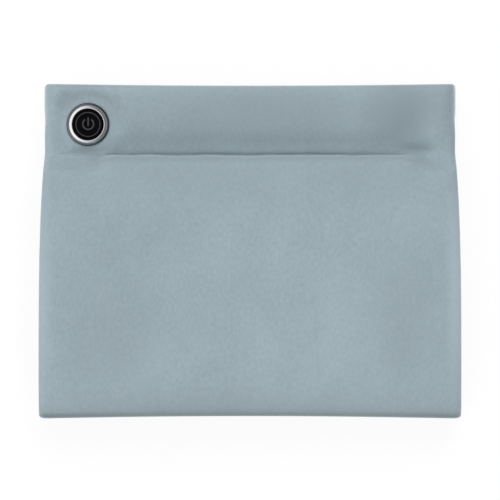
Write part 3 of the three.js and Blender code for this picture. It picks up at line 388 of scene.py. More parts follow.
pinch_lift = 11.5
pinch_reach = 12.0
lift_power = 3
cuff_drop_share, cuff_drop_power = 0.17, 6
edge_drop_share, edge_drop_power = 0.12, 4
end_round = 12.0
end_power = 2.6
end_open = 24.0
corner_turn = 2.8
corner_reach = 9.0


def near_pinch(y):
    """1 at the pinch, where the band's ends are still as open as the cuffs, and 0 up in the band."""
    return 1 - ease(clamp((y - seam_y) / end_open))


def settle(x, y, z, depth=0.0, end_x=None):
    """Where a point of the padded surface comes to lie: crowned, pinched, narrowed and shut at the
    band's ends. Round a rim, which turns back in, end_x is the place that its closing goes by."""
    across = x * width_share(y)
    above = z - seam_z
    if above > 0:
        if y < seam_y:
            middle = (seam_y + bottom_y) / 2
            to_cuff = min(abs(x) / muff_half, 1)
            to_edge = abs(y - middle) / (seam_y - middle)
            cuff_drop = cuff_drop_share * to_cuff ** cuff_drop_power
            edge_drop = edge_drop_share * to_edge ** edge_drop_power
            above *= 1 - cuff_drop - edge_drop
        lift = max(pinch_lift * math.exp(-((y - seam_y) / pinch_reach) ** 2) - depth, 0.0)
        above = (above ** lift_power + lift ** lift_power) ** (1 / lift_power)
        level, hold = end_level(y)
        climb = level - min(depth, wall) - above
        if depth >= inner_depth:
            climb = min(climb, 0.0)
        above += (1 - stitched_share(across)) * hold * climb
        drawn = min(groove_at(across, y), above - layer_gap)
        above -= max(drawn - depth, 0.0)
    if y >= seam_y:
        over = clamp((abs(end_x or x) - (muff_half - end_round)) / end_round)
        shut = (1 - over ** end_power) ** (1 / end_power)
        if above > 0:
            shut += (1 - shut) * near_pinch(y)
        above *= shut
    corner = clamp((abs(x) - muff_half + corner_turn) / corner_turn)
    dropped = corner_turn * (1 - math.sqrt(1 - corner * corner))
    dropped *= ease(clamp((y - top_y + corner_reach) / corner_reach))
    return Vector((across, y + edge_drift(across, y) - dropped, seam_z + above))


pull_radius = 14.2
pull_reach = 16.0


def button_pull(point, under=0.0):
    """The ring clamps the plush down round the key; the cloth rolls up again outside it."""
    away = (point.xy - button_centre).length - pull_radius
    pull = 1 - ease(clamp(away / pull_reach))
    if point.z > seam_z and point.y > seam_y:
        point.z += pull * (button_seat - under - point.z)
    return point


cuff_square_shares = {"high": 0.9, "low": -0.62}
cuff_square_power = 4
end_fill_share = 0.54


def tunnel_place(row, column):
    """A point of the tunnel's plush, on its face, round the cuff's rim or on the hem inside. The rim's
    corners are fuller than a circle's, and the hem runs back to the lining's form."""
    kind, way, value = column
    if kind == "face":
        x, depth = value, 0.0
    elif kind == "rim":
        x = way * (rim_centre + rim_radius * math.sin(value))
        depth = rim_radius * (1 - math.cos(value))
    else:
        x, depth = way * (rim_centre - value), wall
    y, z = section_point(row, depth)
    if "angle" in row:
        squared = min(depth, rim_radius) * math.cos(row["angle"]) ** cuff_square_power
        if kind == "hem":
            squared *= (1 - value / hem) ** 2
        y += cuff_square_shares[row["end"]] * squared
    y += (spread_rows(row, x, y) - y) * (1 - min(depth / wall, 1))
    return settle(x, y, z, depth)


def band_place(row, column):
    """The band is shut at its ends, and next to the pinch its ends take the form of the cuff's rim."""
    kind, way, value = column
    y, z = section_point(row, 0.0)
    if kind == "face":
        return button_pull(settle(value, spread_rows(row, value, y), z))
    side = row["half"]["side"]
    near = near_pinch(y) if side > 0 else 0.0
    if kind == "rim":
        out = math.sin(value) * near + math.sin(value / 2) * (1 - near)
        out /= 1 - end_fill_share * near * (1 - near)
        x = way * (rim_centre + rim_radius * out)
        depth = rim_radius * (1 - math.cos(value)) * near
        return settle(x, spread_rows(row, x, y), z, depth, rim_centre + rim_radius * math.sin(value / 2))
    x = way * (rim_centre * near + muff_half * (1 - near) - value)
    return settle(x, spread_rows(row, x, y), seam_z + side * layer_gap, muff_half)


def cover_place(row, column):
    """A point of a panel that goes over the band and the tunnel."""
    in_band = any(row["half"] is halves[name] for name in ("band_front", "band_rear"))
    return band_place(row, column) if in_band else tunnel_place(row, column)


hem_steps = 5
rim_steps = 6


def columns_of(knots=()):
    """Places across the muff: in along the left hem, round the cuff, over the face and round again.
    Where a knot is wanted, the nearest column of the face is moved to it."""
    hems = [hem * (1 - i / hem_steps) for i in range(hem_steps)]
    rims = [math.pi * (1 - i / rim_steps) for i in range(rim_steps)]
    count = round(2 * rim_centre / grid_step)
    faces = [-rim_centre + 2 * rim_centre * i / count for i in range(count + 1)]
    for knot in knots:
        nearest = min(range(len(faces)), key=lambda i: abs(faces[i] - knot))
        faces[nearest] = knot
    left = [("hem", -1, v) for v in hems] + [("rim", -1, v) for v in rims]
    right = [("rim", 1, v) for v in reversed(rims)] + [("hem", 1, v) for v in reversed(hems)]
    return left + [("face", 0, v) for v in faces] + right


def panel_shape(rows, columns, place):
    """A sheet of cloth as a grid, each corner moved to its place on the muff. Rows run downwards."""
    shape = bmesh.new()
    wide, tall = len(columns) - 1, len(rows) - 1
    bmesh.ops.create_grid(shape, x_segments=wide, y_segments=tall, size=1.0)
    for corner in shape.verts:
        column = columns[round((corner.co.x + 1) / 2 * wide)]
        row = rows[round((1 - corner.co.y) / 2 * tall)]
        corner.co = place(row, column) * mm
    return shape


# Waves are given as height, length across, length down and seed. Folds round the ring are given as
# angle, distance, width and depth, and folds at the pinch's ends as centre, half sizes and height.
gather_waves = ((1.0, 7.5, 40, 2.2), (0.6, 3.8, 25, 7.7))
gather_height = 0.55
gather_reach = 7.0
swell_waves = ((0.55, 38, 30, 5.5), (0.22, 15, 13, 9.1))
ring_folds = ((52, 17.6, 2.4, 1.1), (228, 17.0, 2.6, 0.8), (300, 18.0, 3.0, 0.4))
ring_fold_turn = 0.55
end_folds = ((107, 64.9, 9, 3.0, -3.0), (116, 72, 3, 8, 1.2), (-104, 64.3, 11, 2.8, -1.6))
edge_still = 8.0
ring_hold = 13.9
ring_loose = 3.0


def unevenness(waves, x, y, shift=0.0):
    """Soft random waves in cloth, added up."""
    total = 0.0
    for height, across, down, seed in waves:
        total += height * noise.noise(Vector((x / across, y / down, seed + shift)))
    return total


def puckers(x, y):
    """Small gathers that run out of the pinch, and soft unevenness of the stuffing elsewhere."""
    gathers = unevenness(gather_waves, x, y)
    gathers *= gather_height * math.exp(-abs(y - seam_y) / gather_reach)
    return gathers + unevenness(swell_waves, x, y)


def ring_fold_at(x, y):
    """Soft folds that the ring's clamp draws into the plush, above right and below left of it."""
    dx, dy = x - button_centre.x, y - button_centre.y
    total = 0.0
    for angle, reach, width, depth in ring_folds:
        turn = (math.atan2(dy, dx) - math.radians(angle) + math.pi) % (2 * math.pi) - math.pi
        across = (math.hypot(dx, dy) - reach) / width
        total -= depth * math.exp(-across ** 2) * math.exp(-(turn / ring_fold_turn) ** 2)
    return total


def end_fold_at(x, y):
    """The dimples where the pinch runs out, and the short ridge beside the right one."""
    total = 0.0
    for fold_x, fold_y, wide, tall, height in end_folds:
        total += height * math.exp(-((x - fold_x) / wide) ** 2 - ((y - fold_y) / tall) ** 2)
    return total


def loosen(shape):
    """Moves the front face in and out by its gathers and folds, and holds its seams and ring still."""
    shape.normal_update()
    moves = []
    for corner in shape.verts:
        x, y, z = corner.co / mm
        facing = max(corner.normal.z, 0.0)
        edge = clamp(min(abs(top_y - y), abs(y - bottom_y)) / edge_still)
        shift = puckers(x, y) * edge + ring_fold_at(x, y) + end_fold_at(x, y)
        away = (Vector((x, y)) - button_centre).length
        shift *= ease(clamp((away - ring_hold) / ring_loose))
        moves.append(corner.normal * shift * mm * facing)
    for corner, move in zip(shape.verts, moves):
        corner.co += move


front_shape = panel_shape(rows_of("band_front") + rows_of("tunnel_front"), columns_of(), cover_place)
loosen(front_shape)
hole_faces = [
    face for face in front_shape.faces
    if face.calc_center_median().z > seam_z * mm
    and (face.calc_center_median().xy / mm - button_centre).length < cloth_hole
]
bmesh.ops.delete(front_shape, geom=hole_faces, context="FACES")
for corner in front_shape.verts:
    if corner.is_boundary and (corner.co.xy / mm - button_centre).length < cloth_hole + grid_step:
        outward = (corner.co.xy / mm - button_centre).normalized() * cloth_hole
        corner.co.xy = (button_centre + outward) * mm
        corner.co.z = button_seat * mm


def panel_object(name, shape, thickness=cover, levels=1):
    """Makes a panel an object: the cloth gets its thickness inwards and one smoothing."""
    made = finished(name, shape)
    thicken = made.modifiers.new("cloth", "SOLIDIFY")
    thicken.thickness = thickness * mm
    thicken.offset = -1
    if levels:
        smooth = made.modifiers.new("smooth", "SUBSURF")
        smooth.levels = levels
        smooth.render_levels = levels
    return made


plush_pale = (0.303, 0.372, 0.408, 1.0)
plush_deep = (0.236, 0.292, 0.321, 1.0)
plush_nap_and_shade = (0.205, 0.253, 0.279, 1.0)
plush_painted_rim_light = (0.365, 0.440, 0.482, 1.0)
plush_shaded = (0.120, 0.146, 0.160, 1.0)
plush_sheen = (0.80, 0.88, 0.92, 1.0)
brushed_share, clouds_share, pile_share = 0.25, 0.30, 0.45


def new_finish(name, looks):
    """A material of one surface with its plain looks set, and the place that its patterns read."""
    material, tree = new_material(name)
    output = add_node(tree, "ShaderNodeOutputMaterial")
    surface = add_node(tree, "ShaderNodeBsdfPrincipled")
    for look, value in looks.items():
        surface.inputs[look].default_value = value
    link(tree, surface, 0, output, "Surface")
    return material, tree, surface, add_node(tree, "ShaderNodeTexCoord")


def noise_node(tree, place, scale, detail=2.0, stretch=(1, 1, 1)):
    mapping = add_node(tree, "ShaderNodeMapping")
    mapping.inputs["Scale"].default_value = stretch
    link(tree, place, "Object", mapping, "Vector")
    texture = add_node(tree, "ShaderNodeTexNoise")
    texture.inputs["Scale"].default_value = scale
    texture.inputs["Detail"].default_value = detail
    link(tree, mapping, 0, texture, "Vector")
    return texture


def wave_node(tree, place, way, scale, distortion=0.0):
    texture = add_node(tree, "ShaderNodeTexWave", wave_type="BANDS", bands_direction=way)
    texture.inputs["Scale"].default_value = scale
    texture.inputs["Distortion"].default_value = distortion
    link(tree, place, "Object", texture, "Vector")
    return texture


def spread(tree, source, low=0.30, high=0.70, to_low=0.0, to_high=1.0):
    """Stretches the middle of a noise, which hardly reaches its ends, over a whole range."""
    span = add_node(tree, "ShaderNodeMapRange")
    span.inputs["From Min"].default_value = low
    span.inputs["From Max"].default_value = high
    span.inputs["To Min"].default_value = to_low
    span.inputs["To Max"].default_value = to_high
    link(tree, source, 0, span, "Value")
    return span


def blend_colours(tree, factor, first, second):
    mix = add_node(tree, "ShaderNodeMix", data_type="RGBA", blend_type="MIX")
    link(tree, factor, 0, mix, "Factor")
    for socket, value in (("A", first), ("B", second)):
        target = [s for s in mix.inputs if s.name == socket and s.type == "RGBA"][0]
        if isinstance(value, tuple):
            target.default_value = value
        else:
            tree.links.new(value, target)
    return [s for s in mix.outputs if s.type == "RGBA"][0]


def add_bump(tree, pattern, strength, depth, over=None):
    """Fine relief from a pattern, over a coarser relief where one is given."""
    bump = add_node(tree, "ShaderNodeBump")
    bump.inputs["Strength"].default_value = strength
    bump.inputs["Distance"].default_value = depth * mm
    link(tree, pattern, 0, bump, "Height")
    if over:
        link(tree, over, 0, bump, "Normal")
    return bump


plush, tree, plush_surface, plush_place = new_finish("short_pile_plush", {
    "Roughness": 0.92, "Sheen Weight": 0.75, "Sheen Roughness": 0.38, "Sheen Tint": plush_sheen,
    "Specular IOR Level": 0.15,
})
brushed = noise_node(tree, plush_place, scale=11.0)
clouds = noise_node(tree, plush_place, scale=34.0, detail=4.0, stretch=(1, 0.8, 1))
pile = noise_node(tree, plush_place, scale=560.0, detail=3.0, stretch=(1, 0.6, 1))
fibre = noise_node(tree, plush_place, scale=1500.0, stretch=(1, 0.35, 1))
patches = None
tone_layers = (
    (spread(tree, pile), pile_share),
    (spread(tree, clouds), clouds_share),
    (spread(tree, brushed, low=0.35, high=0.65), brushed_share),
)
for layer, layer_share in tone_layers:
    added = add_node(tree, "ShaderNodeMath", operation="MULTIPLY_ADD")
    link(tree, layer, 0, added, 0)
    added.inputs[1].default_value = layer_share
    added.inputs[2].default_value = 0.0
    if patches:
        link(tree, patches, 0, added, 2)
    patches = added
plush_colour = blend_colours(tree, patches, plush_deep, plush_pale)

# Darker and paler places painted into the plush's colour, each with its centre, reach, strength and tone:
# brushed patches of the nap; painted shade over the band, in a dent at its right end, along the tunnel's
# top and bottom, in the pinch's crease, in the dimples at its ends and along the long edges; and painted
# light on the rims round the cuffs.
nap_tone_and_painted_light = (
    # painted shade: a soft dent at the band's right end, and the band's face, which turns away from the
    # light
    ((100, 90, 25), (40, 34, 60), 1.00, plush_nap_and_shade),
    ((5, 92, 30), (140, 30, 60), 0.60, plush_nap_and_shade),
    # brushed patches of the nap, its own tone
    ((-89, -45, 45), (44, 75, 90), 0.28, plush_nap_and_shade),
    ((99, -42, 45), (40, 80, 90), 0.38, plush_nap_and_shade),
    ((-52, 16, 45), (24, 28, 60), 0.12, plush_nap_and_shade),
    # painted shade along the tunnel's top under the pinch and along its bottom edge
    ((0, 55, 45), (230, 40, 90), 0.38, plush_nap_and_shade),
    ((0, -106, 45), (230, 26, 90), 0.44, plush_nap_and_shade),
    # painted light: paler rims round both cuffs, stronger at the right one, which gets less light
    ((-137, -25, 30), (15, 120, 90), 0.55, plush_painted_rim_light),
    ((137, -25, 30), (15, 120, 90), 0.95, plush_painted_rim_light),
    # painted shade in the pinch's crease and in the dimples where the stitching runs out
    ((6, 61.9, 30), (118, 1.8, 60), 0.35, plush_nap_and_shade),
    ((107, 64.6, 30), (14, 5, 60), 0.90, plush_nap_and_shade),
    ((-104, 64, 30), (17, 5, 60), 0.60, plush_nap_and_shade),
    # painted shade along the turned-under bottom edge and along the top edge
    ((0, -106.5, 22), (400, 4.8, 60), 1.00, plush_shaded),
    ((0, 107.5, 20), (400, 4, 60), 0.60, plush_shaded),
)
for patch_centre, patch_reach, patch_share, patch_tone in nap_tone_and_painted_light:
    patch_map = add_node(tree, "ShaderNodeMapping", vector_type="TEXTURE")
    patch_map.inputs["Location"].default_value = Vector(patch_centre) * mm
    patch_map.inputs["Scale"].default_value = Vector(patch_reach) * mm
    link(tree, plush_place, "Object", patch_map, "Vector")
    patch_away = add_node(tree, "ShaderNodeVectorMath", operation="LENGTH")
    link(tree, patch_map, 0, patch_away, 0)
    patch_fade = add_node(tree, "ShaderNodeMapRange", interpolation_type="SMOOTHSTEP")
    patch_fade.inputs["To Min"].default_value = patch_share
    patch_fade.inputs["To Max"].default_value = 0
    link(tree, patch_away, "Value", patch_fade, "Value")
    plush_colour = blend_colours(tree, patch_fade, plush_colour, patch_tone)
tree.links.new(plush_colour, plush_surface.inputs["Base Color"])
pile_bump = add_bump(tree, pile, strength=0.35, depth=0.5)
fibre_bump = add_bump(tree, fibre, strength=0.30, depth=0.2, over=pile_bump)
link(tree, fibre_bump, 0, plush_surface, "Normal")

front_panel = panel_object("plush_front", front_shape)
front_panel.data.materials.append(plush)
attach(front_panel, "muff")
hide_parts("front_cover")

# Plush rear panel: the same plush on the side that the muff lies on, in the same outline. The sloping
# edge of its band has the long slit for the zip.
slope = halves["band_rear"]["high"]
slope_span = Vector((slope["turn"], slope["z"]))
slope_middle = Vector((slope["y"], slope["z"])) - slope_span / 2
slope_way = slope_span.normalized()
slope_out = Vector((0, slope_way.y, -slope_way.x))
slit_half = 96.0
slit_edge = 4.0
slit_flat = 1.0
slit_share = slit_edge / math.hypot(*slope_span)
slope_shares = (0, 0.15, 0.5 - slit_share, 0.5, 0.5 + slit_share, 0.85, 1)
slit_knot = slit_half * muff_half / band_half

rear_rows = rows_of("band_rear") + rows_of("tunnel_rear")
rear_shape = panel_shape(rear_rows, columns_of(knots=(-slit_knot, slit_knot)), cover_place)
slit_faces = []
for face in rear_shape.faces:
    centre = face.calc_center_median() / mm
    from_middle = centre.yz - slope_middle
    along, off = from_middle.dot(slope_way), from_middle.cross(slope_way)
    if abs(centre.x) < slit_half and abs(along) < slit_edge and abs(off) < slit_flat:
        slit_faces.append(face)
bmesh.ops.delete(rear_shape, geom=slit_faces, context="FACES")
bmesh.ops.reverse_faces(rear_shape, faces=rear_shape.faces)
rear_panel = panel_object("plush_rear", rear_shape)
rear_panel.data.materials.append(plush)
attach(rear_panel, "muff")
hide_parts("rear_cover")

# Zip slit stitching: two rows of polyester lockstitch that hold the plush's edges to the zip tapes. Each
# stitch is a bead of twisted thread sunk halfway into the pile.
stitch_long = 2.3
stitch_wide = 0.5
stitch_pitch = 3.2
stitch_inset = 1.3
stitch_rise = 0.1
stitch_segments, stitch_rings = 8, 5
thread_colour = (0.235, 0.290, 0.318, 1.0)
thread_light = (0.330, 0.395, 0.425, 1.0)


def lay_stitch(shape, point, way, outward):
    """One stitch of thread: a slim bead lying along a seam, half sunk in the cloth."""
    side = outward.cross(way).normalized()
    turn = Matrix((way.normalized(), side, outward.normalized())).transposed()
    scale = Matrix.Diagonal(Vector((stitch_long / 2, stitch_wide / 2, stitch_wide / 2)) * mm)
    place = Matrix.Translation(point * mm) @ (turn @ scale).to_4x4()
    bmesh.ops.create_uvsphere(
        shape, u_segments=stitch_segments, v_segments=stitch_rings, radius=1.0, matrix=place)


thread, tree, thread_surface, thread_place = new_finish("sewing_thread", {"Roughness": 0.62})
thread_twist = wave_node(tree, thread_place, "DIAGONAL", scale=900.0)
thread_tone = blend_colours(tree, thread_twist, thread_colour, thread_light)
tree.links.new(thread_tone, thread_surface.inputs["Base Color"])
link(tree, add_bump(tree, thread_twist, strength=0.5, depth=0.05), 0, thread_surface, "Normal")


def stitch_object(name, shape):
    made = finished(name, shape)
    made.data.materials.append(thread)
    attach(made, "muff")


slit_shape = bmesh.new()
stitch_count = round(2 * slit_half / stitch_pitch)
for side in (-1, 1):
    row_middle = slope_middle + slope_way * side * (slit_edge + stitch_inset)
    for i in range(stitch_count + 1):
        x = -slit_half + 2 * slit_half * i / stitch_count
        point = Vector((x, *row_middle)) + slope_out * stitch_rise
        lay_stitch(slit_shape, point, Vector((1, 0, 0)), slope_out)
stitch_object("slit_stitches", slit_shape)

# Wadding: four pads of polyester wadding, two round the hand tunnel and two in the band. Each is one
# closed soft form between the plush and what lies under it, thinner over the battery pack, and cut out
# round the controller.
wadding_top = cover + layer_gap
tunnel_loft = 4.6
band_loft = 3.0
tunnel_pad_half = 128.5
band_pad_half = 124.5
pad_step = 4.0
pad_draw_share = 0.08
pad_draw_reach = 16.0
pad_pull_gap = 0.4
pad_gap = 0.4
pad_round_casing = 2.0
casing_reach = 15.6
pack_margin = 2.0
pack_cable_margin = 14.0
thinnest_share = 0.05
pack_low, pack_high = (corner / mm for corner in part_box("battery_case_front"))
pack_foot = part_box("battery_case_rear")[0] / mm
wadding_white = (0.80, 0.79, 0.76, 1.0)
wadding_shade = (0.62, 0.61, 0.58, 1.0)

wadding, tree, wadding_surface, wadding_place = new_finish(
    "polyester_wadding", {"Roughness": 0.95, "Sheen Weight": 0.25})
wadding_fluff = noise_node(tree, wadding_place, scale=160.0, detail=5.0)
wadding_tone = blend_colours(tree, spread(tree, wadding_fluff), wadding_shade, wadding_white)
tree.links.new(wadding_tone, wadding_surface.inputs["Base Color"])
link(tree, add_bump(tree, wadding_fluff, strength=0.6, depth=0.8), 0, wadding_surface, "Normal")


def pad_place(row, column):
    """A point of a pad's outer face, drawn in a little at the pinch and pressed in with the plush."""
    y, z = section_point(row, wadding_top)
    column *= 1 - pad_draw_share * ease(clamp(1 - abs(y - seam_y) / pad_draw_reach))
    point = settle(column, spread_rows(row, column, y), z, wadding_top)
    if point.z > seam_z:
        point.z += min(end_fold_at(point.x, point.y), 0.0)
    return button_pull(point, wadding_top + pad_pull_gap)


def thin_over_pack(point, loft, side):
    """The share of its loft that a band pad keeps, so that it lies on the battery pack and not in it."""
    beside_x = pack_low.x - pack_margin < point.x < pack_high.x + pack_cable_margin
    beside_y = pack_low.y - pack_margin < point.y < pack_high.y + pack_margin
    if not (beside_x and beside_y):
        return 1.0
    room = point.z - pack_high.z if side > 0 else pack_foot.z - point.z
    return clamp((room - pad_gap) / loft, thinnest_share)


pad_table = (
    ("tunnel_pad_front", "front_padding", "tunnel_front", tunnel_loft, tunnel_pad_half),
    ("tunnel_pad_rear", "rear_padding", "tunnel_rear", tunnel_loft, tunnel_pad_half),
    ("band_pad_front", "band_front_padding", "band_front", band_loft, band_pad_half),
    ("band_pad_rear", "band_rear_padding", "band_rear", band_loft, band_pad_half),
)
for pad_name, pad_node, half_name, loft, reach in pad_table:
    side = halves[half_name]["side"]
    in_band = half_name.startswith("band")
    count = round(2 * reach / pad_step)
    pad_columns = [-reach + 2 * reach * i / count for i in range(count + 1)]
    pad_rows = [row for row in rows_of(half_name, pad_step) if "share" not in row]
    shape = panel_shape(pad_rows, pad_columns, pad_place)
    if in_band:
        gone = [
            face for face in shape.faces
            if (face.calc_center_median().xy / mm - button_centre).length < casing_reach + pad_round_casing
        ]
        bmesh.ops.delete(shape, geom=gone, context="FACES")
    if side < 0:
        bmesh.ops.reverse_faces(shape, faces=shape.faces)
    shape.verts.ensure_lookup_table()
    keeps = [thin_over_pack(corner.co / mm, loft, side) for corner in shape.verts]
    pad = panel_object(pad_name, shape, loft)
    if in_band:
        thin = pad.vertex_groups.new(name="thin")
        for index, keep in enumerate(keeps):
            thin.add([index], keep, "REPLACE")
        pad.modifiers["cloth"].vertex_group = "thin"
    pad.data.materials.append(wadding)
    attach(pad, "muff")
    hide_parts(pad_node)

# Lining: a sleeve of smooth polyester satin inside the hand tunnel, closed all round, with small rucks.
# Its ends are sewn to the turned-in plush of the cuffs.
lining_half = 115.05
lining_top = 8.1
lining_cloth = 1.0
lining_steps = 72
lining_step = 4.0
lining_weld = 0.4
lining_inside = Vector((0, -20, 40))
ruck_waves = ((1.0, 16, 34, 0), (0.5, 6, 22, 3))
ruck_length = 20
ruck_depth = 0.5
satin_colour = (0.150, 0.195, 0.225, 1.0)
satin_light = (0.215, 0.265, 0.300, 1.0)


def lining_place(row, column):
    return settle(column, *section_point(row, lining_top), lining_top)


lining_columns = [-lining_half + 2 * lining_half * i / lining_steps for i in range(lining_steps + 1)]
lining_rows = rows_of("tunnel_front", lining_step) + rows_of("tunnel_rear", lining_step)[::-1]
lining_shape = panel_shape(lining_rows, lining_columns, lining_place)
bmesh.ops.remove_doubles(lining_shape, verts=lining_shape.verts, dist=lining_weld * mm)
bmesh.ops.recalc_face_normals(lining_shape, faces=lining_shape.faces)
inside_face = min(lining_shape.faces, key=lambda f: (f.calc_center_median() - lining_inside * mm).length)
if inside_face.normal.z < 0:
    bmesh.ops.reverse_faces(lining_shape, faces=lining_shape.faces)
lining_shape.normal_update()
ruffles = []
for corner in lining_shape.verts:
    x, y, z = corner.co / mm
    ruck = unevenness(ruck_waves, x, y, z / ruck_length)
    ruffles.append(corner.normal * (-ruck_depth * abs(ruck)) * mm)
for corner, move in zip(lining_shape.verts, ruffles):
    corner.co += move
lining = panel_object("satin_lining", lining_shape, lining_cloth)
satin, tree, satin_surface, satin_place = new_finish(
    "satin_lining_cloth", {"Roughness": 0.42, "Sheen Weight": 0.15})
satin_cloud = noise_node(tree, satin_place, scale=30.0, detail=3.0)
satin_tone = blend_colours(tree, spread(tree, satin_cloud), satin_colour, satin_light)
tree.links.new(satin_tone, satin_surface.inputs["Base Color"])
satin_weave = wave_node(tree, satin_place, "X", scale=500.0, distortion=1.5)
link(tree, add_bump(tree, satin_weave, strength=0.15, depth=0.1), 0, satin_surface, "Normal")
lining.data.materials.append(satin)
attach(lining, "muff")
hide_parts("lining")

# Hem stitching: a row of lockstitch all round inside each cuff, with the same thread, that joins the
# plush's turned-in hem to the lining.
hem_from_edge = 2.2
hem_pitch = 3.52
shortest_stitch = 1.5
hem_shape = bmesh.new()
for side in (-1, 1):
    for half_name in ("tunnel_front", "tunnel_rear"):
        points = [
            settle(side * (rim_centre - hem + hem_from_edge), *section_point(row, wall))
            for row in rows_of(half_name, hem_pitch)
        ]
        facing = -halves[half_name]["side"]
        for a, b in zip(points, points[1:]):
            way = (b - a).normalized()
            if (b - a).length > shortest_stitch:
                inward = Vector((1, 0, 0)).cross(way) * -facing
                inward *= 1 if inward.z * facing >= 0 else -1
                lay_stitch(hem_shape, (a + b) / 2, way, inward)
stitch_object("hem_stitches", hem_shape)

# Heater: printed film heaters between wadding and lining, with copper bus bars and flat leads, a moulded
# cut-out on the front film, and the crimp block where the leads meet the cable. The cable to the battery
# has the same black cover.
weld_distance = 0.002
broad_grain = 9
edge_segments = 2
edge_angle = math.radians(35)


def surface_finish(name, pale, deep, grain=200.0, rough=(0.4, 0.6), bump=0.2, deepness=0.1, metal=0.0,
                   specular=0.5, stretch=(1, 1, 1)):
    """A finish with fine grain in its colour, its roughness and its surface."""
    made, tree, surface, place = new_finish(name, {"Metallic": metal, "Specular IOR Level": specular})
    fine = noise_node(tree, place, scale=grain, detail=3.0, stretch=stretch)
    broad = noise_node(tree, place, scale=grain / broad_grain, stretch=stretch)
    tree.links.new(blend_colours(tree, spread(tree, broad), deep, pale), surface.inputs["Base Color"])
    link(tree, spread(tree, fine, to_low=rough[0], to_high=rough[1]), 0, surface, "Roughness")
    link(tree, add_bump(tree, fine, bump, deepness), 0, surface, "Normal")
    return made


def dress(material, *names, edge=0.0, weld=False):
    """Gives CAD nodes their finish, joins their loose triangles where that is wanted, and breaks their
    sharp edges with a small bevel."""
    for node_name in names:
        target = nodes[node_name]
        target.data.materials.clear()
        target.data.materials.append(material)
        if edge or weld:
            joined = target.modifiers.new("weld", "WELD")
            joined.merge_threshold = weld_distance * mm
        if edge:
            round_off = target.modifiers.new("edge", "BEVEL")
            round_off.width = edge * mm
            round_off.segments = edge_segments
            round_off.limit_method = "ANGLE"
            round_off.angle_limit = edge_angle
            round_off.harden_normals = False


film = surface_finish(
    "printed_heater_film", (0.060, 0.065, 0.072, 1), (0.030, 0.033, 0.038, 1),
    grain=260.0, rough=(0.35, 0.6), bump=0.25)
copper = surface_finish(
    "rolled_copper", (0.83, 0.42, 0.24, 1), (0.62, 0.27, 0.14, 1),
    grain=300.0, rough=(0.25, 0.45), bump=0.2, deepness=0.05, metal=1.0, stretch=(0.15, 1, 1))
crimp_white = surface_finish(
    "white_moulded_plastic", (0.74, 0.74, 0.71, 1), (0.66, 0.66, 0.63, 1),
    grain=420.0, rough=(0.4, 0.55), bump=0.1)
cable_cover = surface_finish(
    "black_cable_cover", (0.025, 0.026, 0.028, 1), (0.012, 0.012, 0.013, 1),
    grain=500.0, rough=(0.45, 0.65), bump=0.15)
for film_name in ("front", "rear"):
    dress(film, film_name + "_heating_film")
    dress(copper, film_name + "_upper_bus_bar", film_name + "_lower_bus_bar", film_name + "_film_tail")
dress(crimp_white, "temperature_sensor", "heater_crimp", "controller_connector", edge=0.3)
dress(cable_cover, "heater_cable", "battery_cable", weld=True)

# Button ring: a turned and chromed ring whose barrel goes through the plush to the clamp ring behind it.
# It stands on a thin dark metal ring, turned too, that lies on the plush and stands in for the shade and
# dark reflection round the chrome's outer flank.
ring_profile = (
    (12.05, -6.6), (12.05, 0.1), (12.25, 0.15), (12.34, 1.3), (12.3, 1.75), (12.15, 2.07), (11.86, 2.3),
    (11.5, 2.49), (11.14, 2.66), (10.82, 2.81), (10.56, 2.9), (10.34, 2.89), (10.17, 2.74), (10.08, 2.45),
    (10.05, 2.0), (10.05, -0.6), (10.85, -0.6), (10.85, -6.6),
)
dark_shade_ring_profile = (
    (12.2, 0.05), (13.7, 0.05), (13.74, 0.5), (13.66, 0.82), (13.42, 1.08), (13.05, 1.33), (12.62, 1.54),
    (12.2, 1.56),
)
spin_steps = 96
crisp_angle = math.radians(28)


def turned(name, profile, closed=True):
    """A piece turned on a lathe: its profile of radius and height is spun once round the button's axis."""
    shape = bmesh.new()
    corners = [shape.verts.new((radius * mm, 0, height * mm)) for radius, height in profile]
    pairs = list(zip(corners, corners[1:]))
    if closed:
        pairs.append((corners[-1], corners[0]))
    edges = [shape.edges.new(pair) for pair in pairs]
    bmesh.ops.spin(
        shape, geom=corners + edges, axis=(0, 0, 1), cent=(0, 0, 0), angle=2 * math.pi, steps=spin_steps,
        use_merge=True)
    bmesh.ops.remove_doubles(shape, verts=shape.verts, dist=weld_distance * mm)
    bmesh.ops.recalc_face_normals(shape, faces=shape.faces)
    seat = Vector((*button_centre, button_seat)) * mm
    bmesh.ops.translate(shape, verts=shape.verts, vec=seat)
    return finished(name, shape)


def crisp(piece, width, segments):
    """Rounds the piece's sharp edges with a fine bevel."""
    bevel = piece.modifiers.new("edge", "BEVEL")
    bevel.width = width * mm
    bevel.segments = segments
    bevel.limit_method = "ANGLE"
    bevel.angle_limit = crisp_angle


chrome = surface_finish(
    "bright_chrome", (0.80, 0.81, 0.82, 1), (0.72, 0.73, 0.74, 1),
    grain=900.0, rough=(0.03, 0.06), bump=0.004, deepness=0.01, metal=1.0)
bezel = turned("button_ring", ring_profile)
crisp(bezel, width=0.12, segments=3)
bezel.data.materials.append(chrome)
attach(bezel, "muff")
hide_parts("button_bezel")

# A dark ring round the chrome's foot: it stands in for the shade and dark reflection round the ring's
# outer flank.
dark_shade_ring_finish = surface_finish(
    "dark_metal_shade_ring", (0.17, 0.175, 0.185, 1), (0.12, 0.124, 0.13, 1),
    grain=600.0, rough=(0.16, 0.24), bump=0.02, deepness=0.01, metal=1.0)
dark_shade_ring = turned("button_dark_shade_ring", dark_shade_ring_profile)
dark_shade_ring.data.materials.append(dark_shade_ring_finish)
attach(dark_shade_ring, "muff")

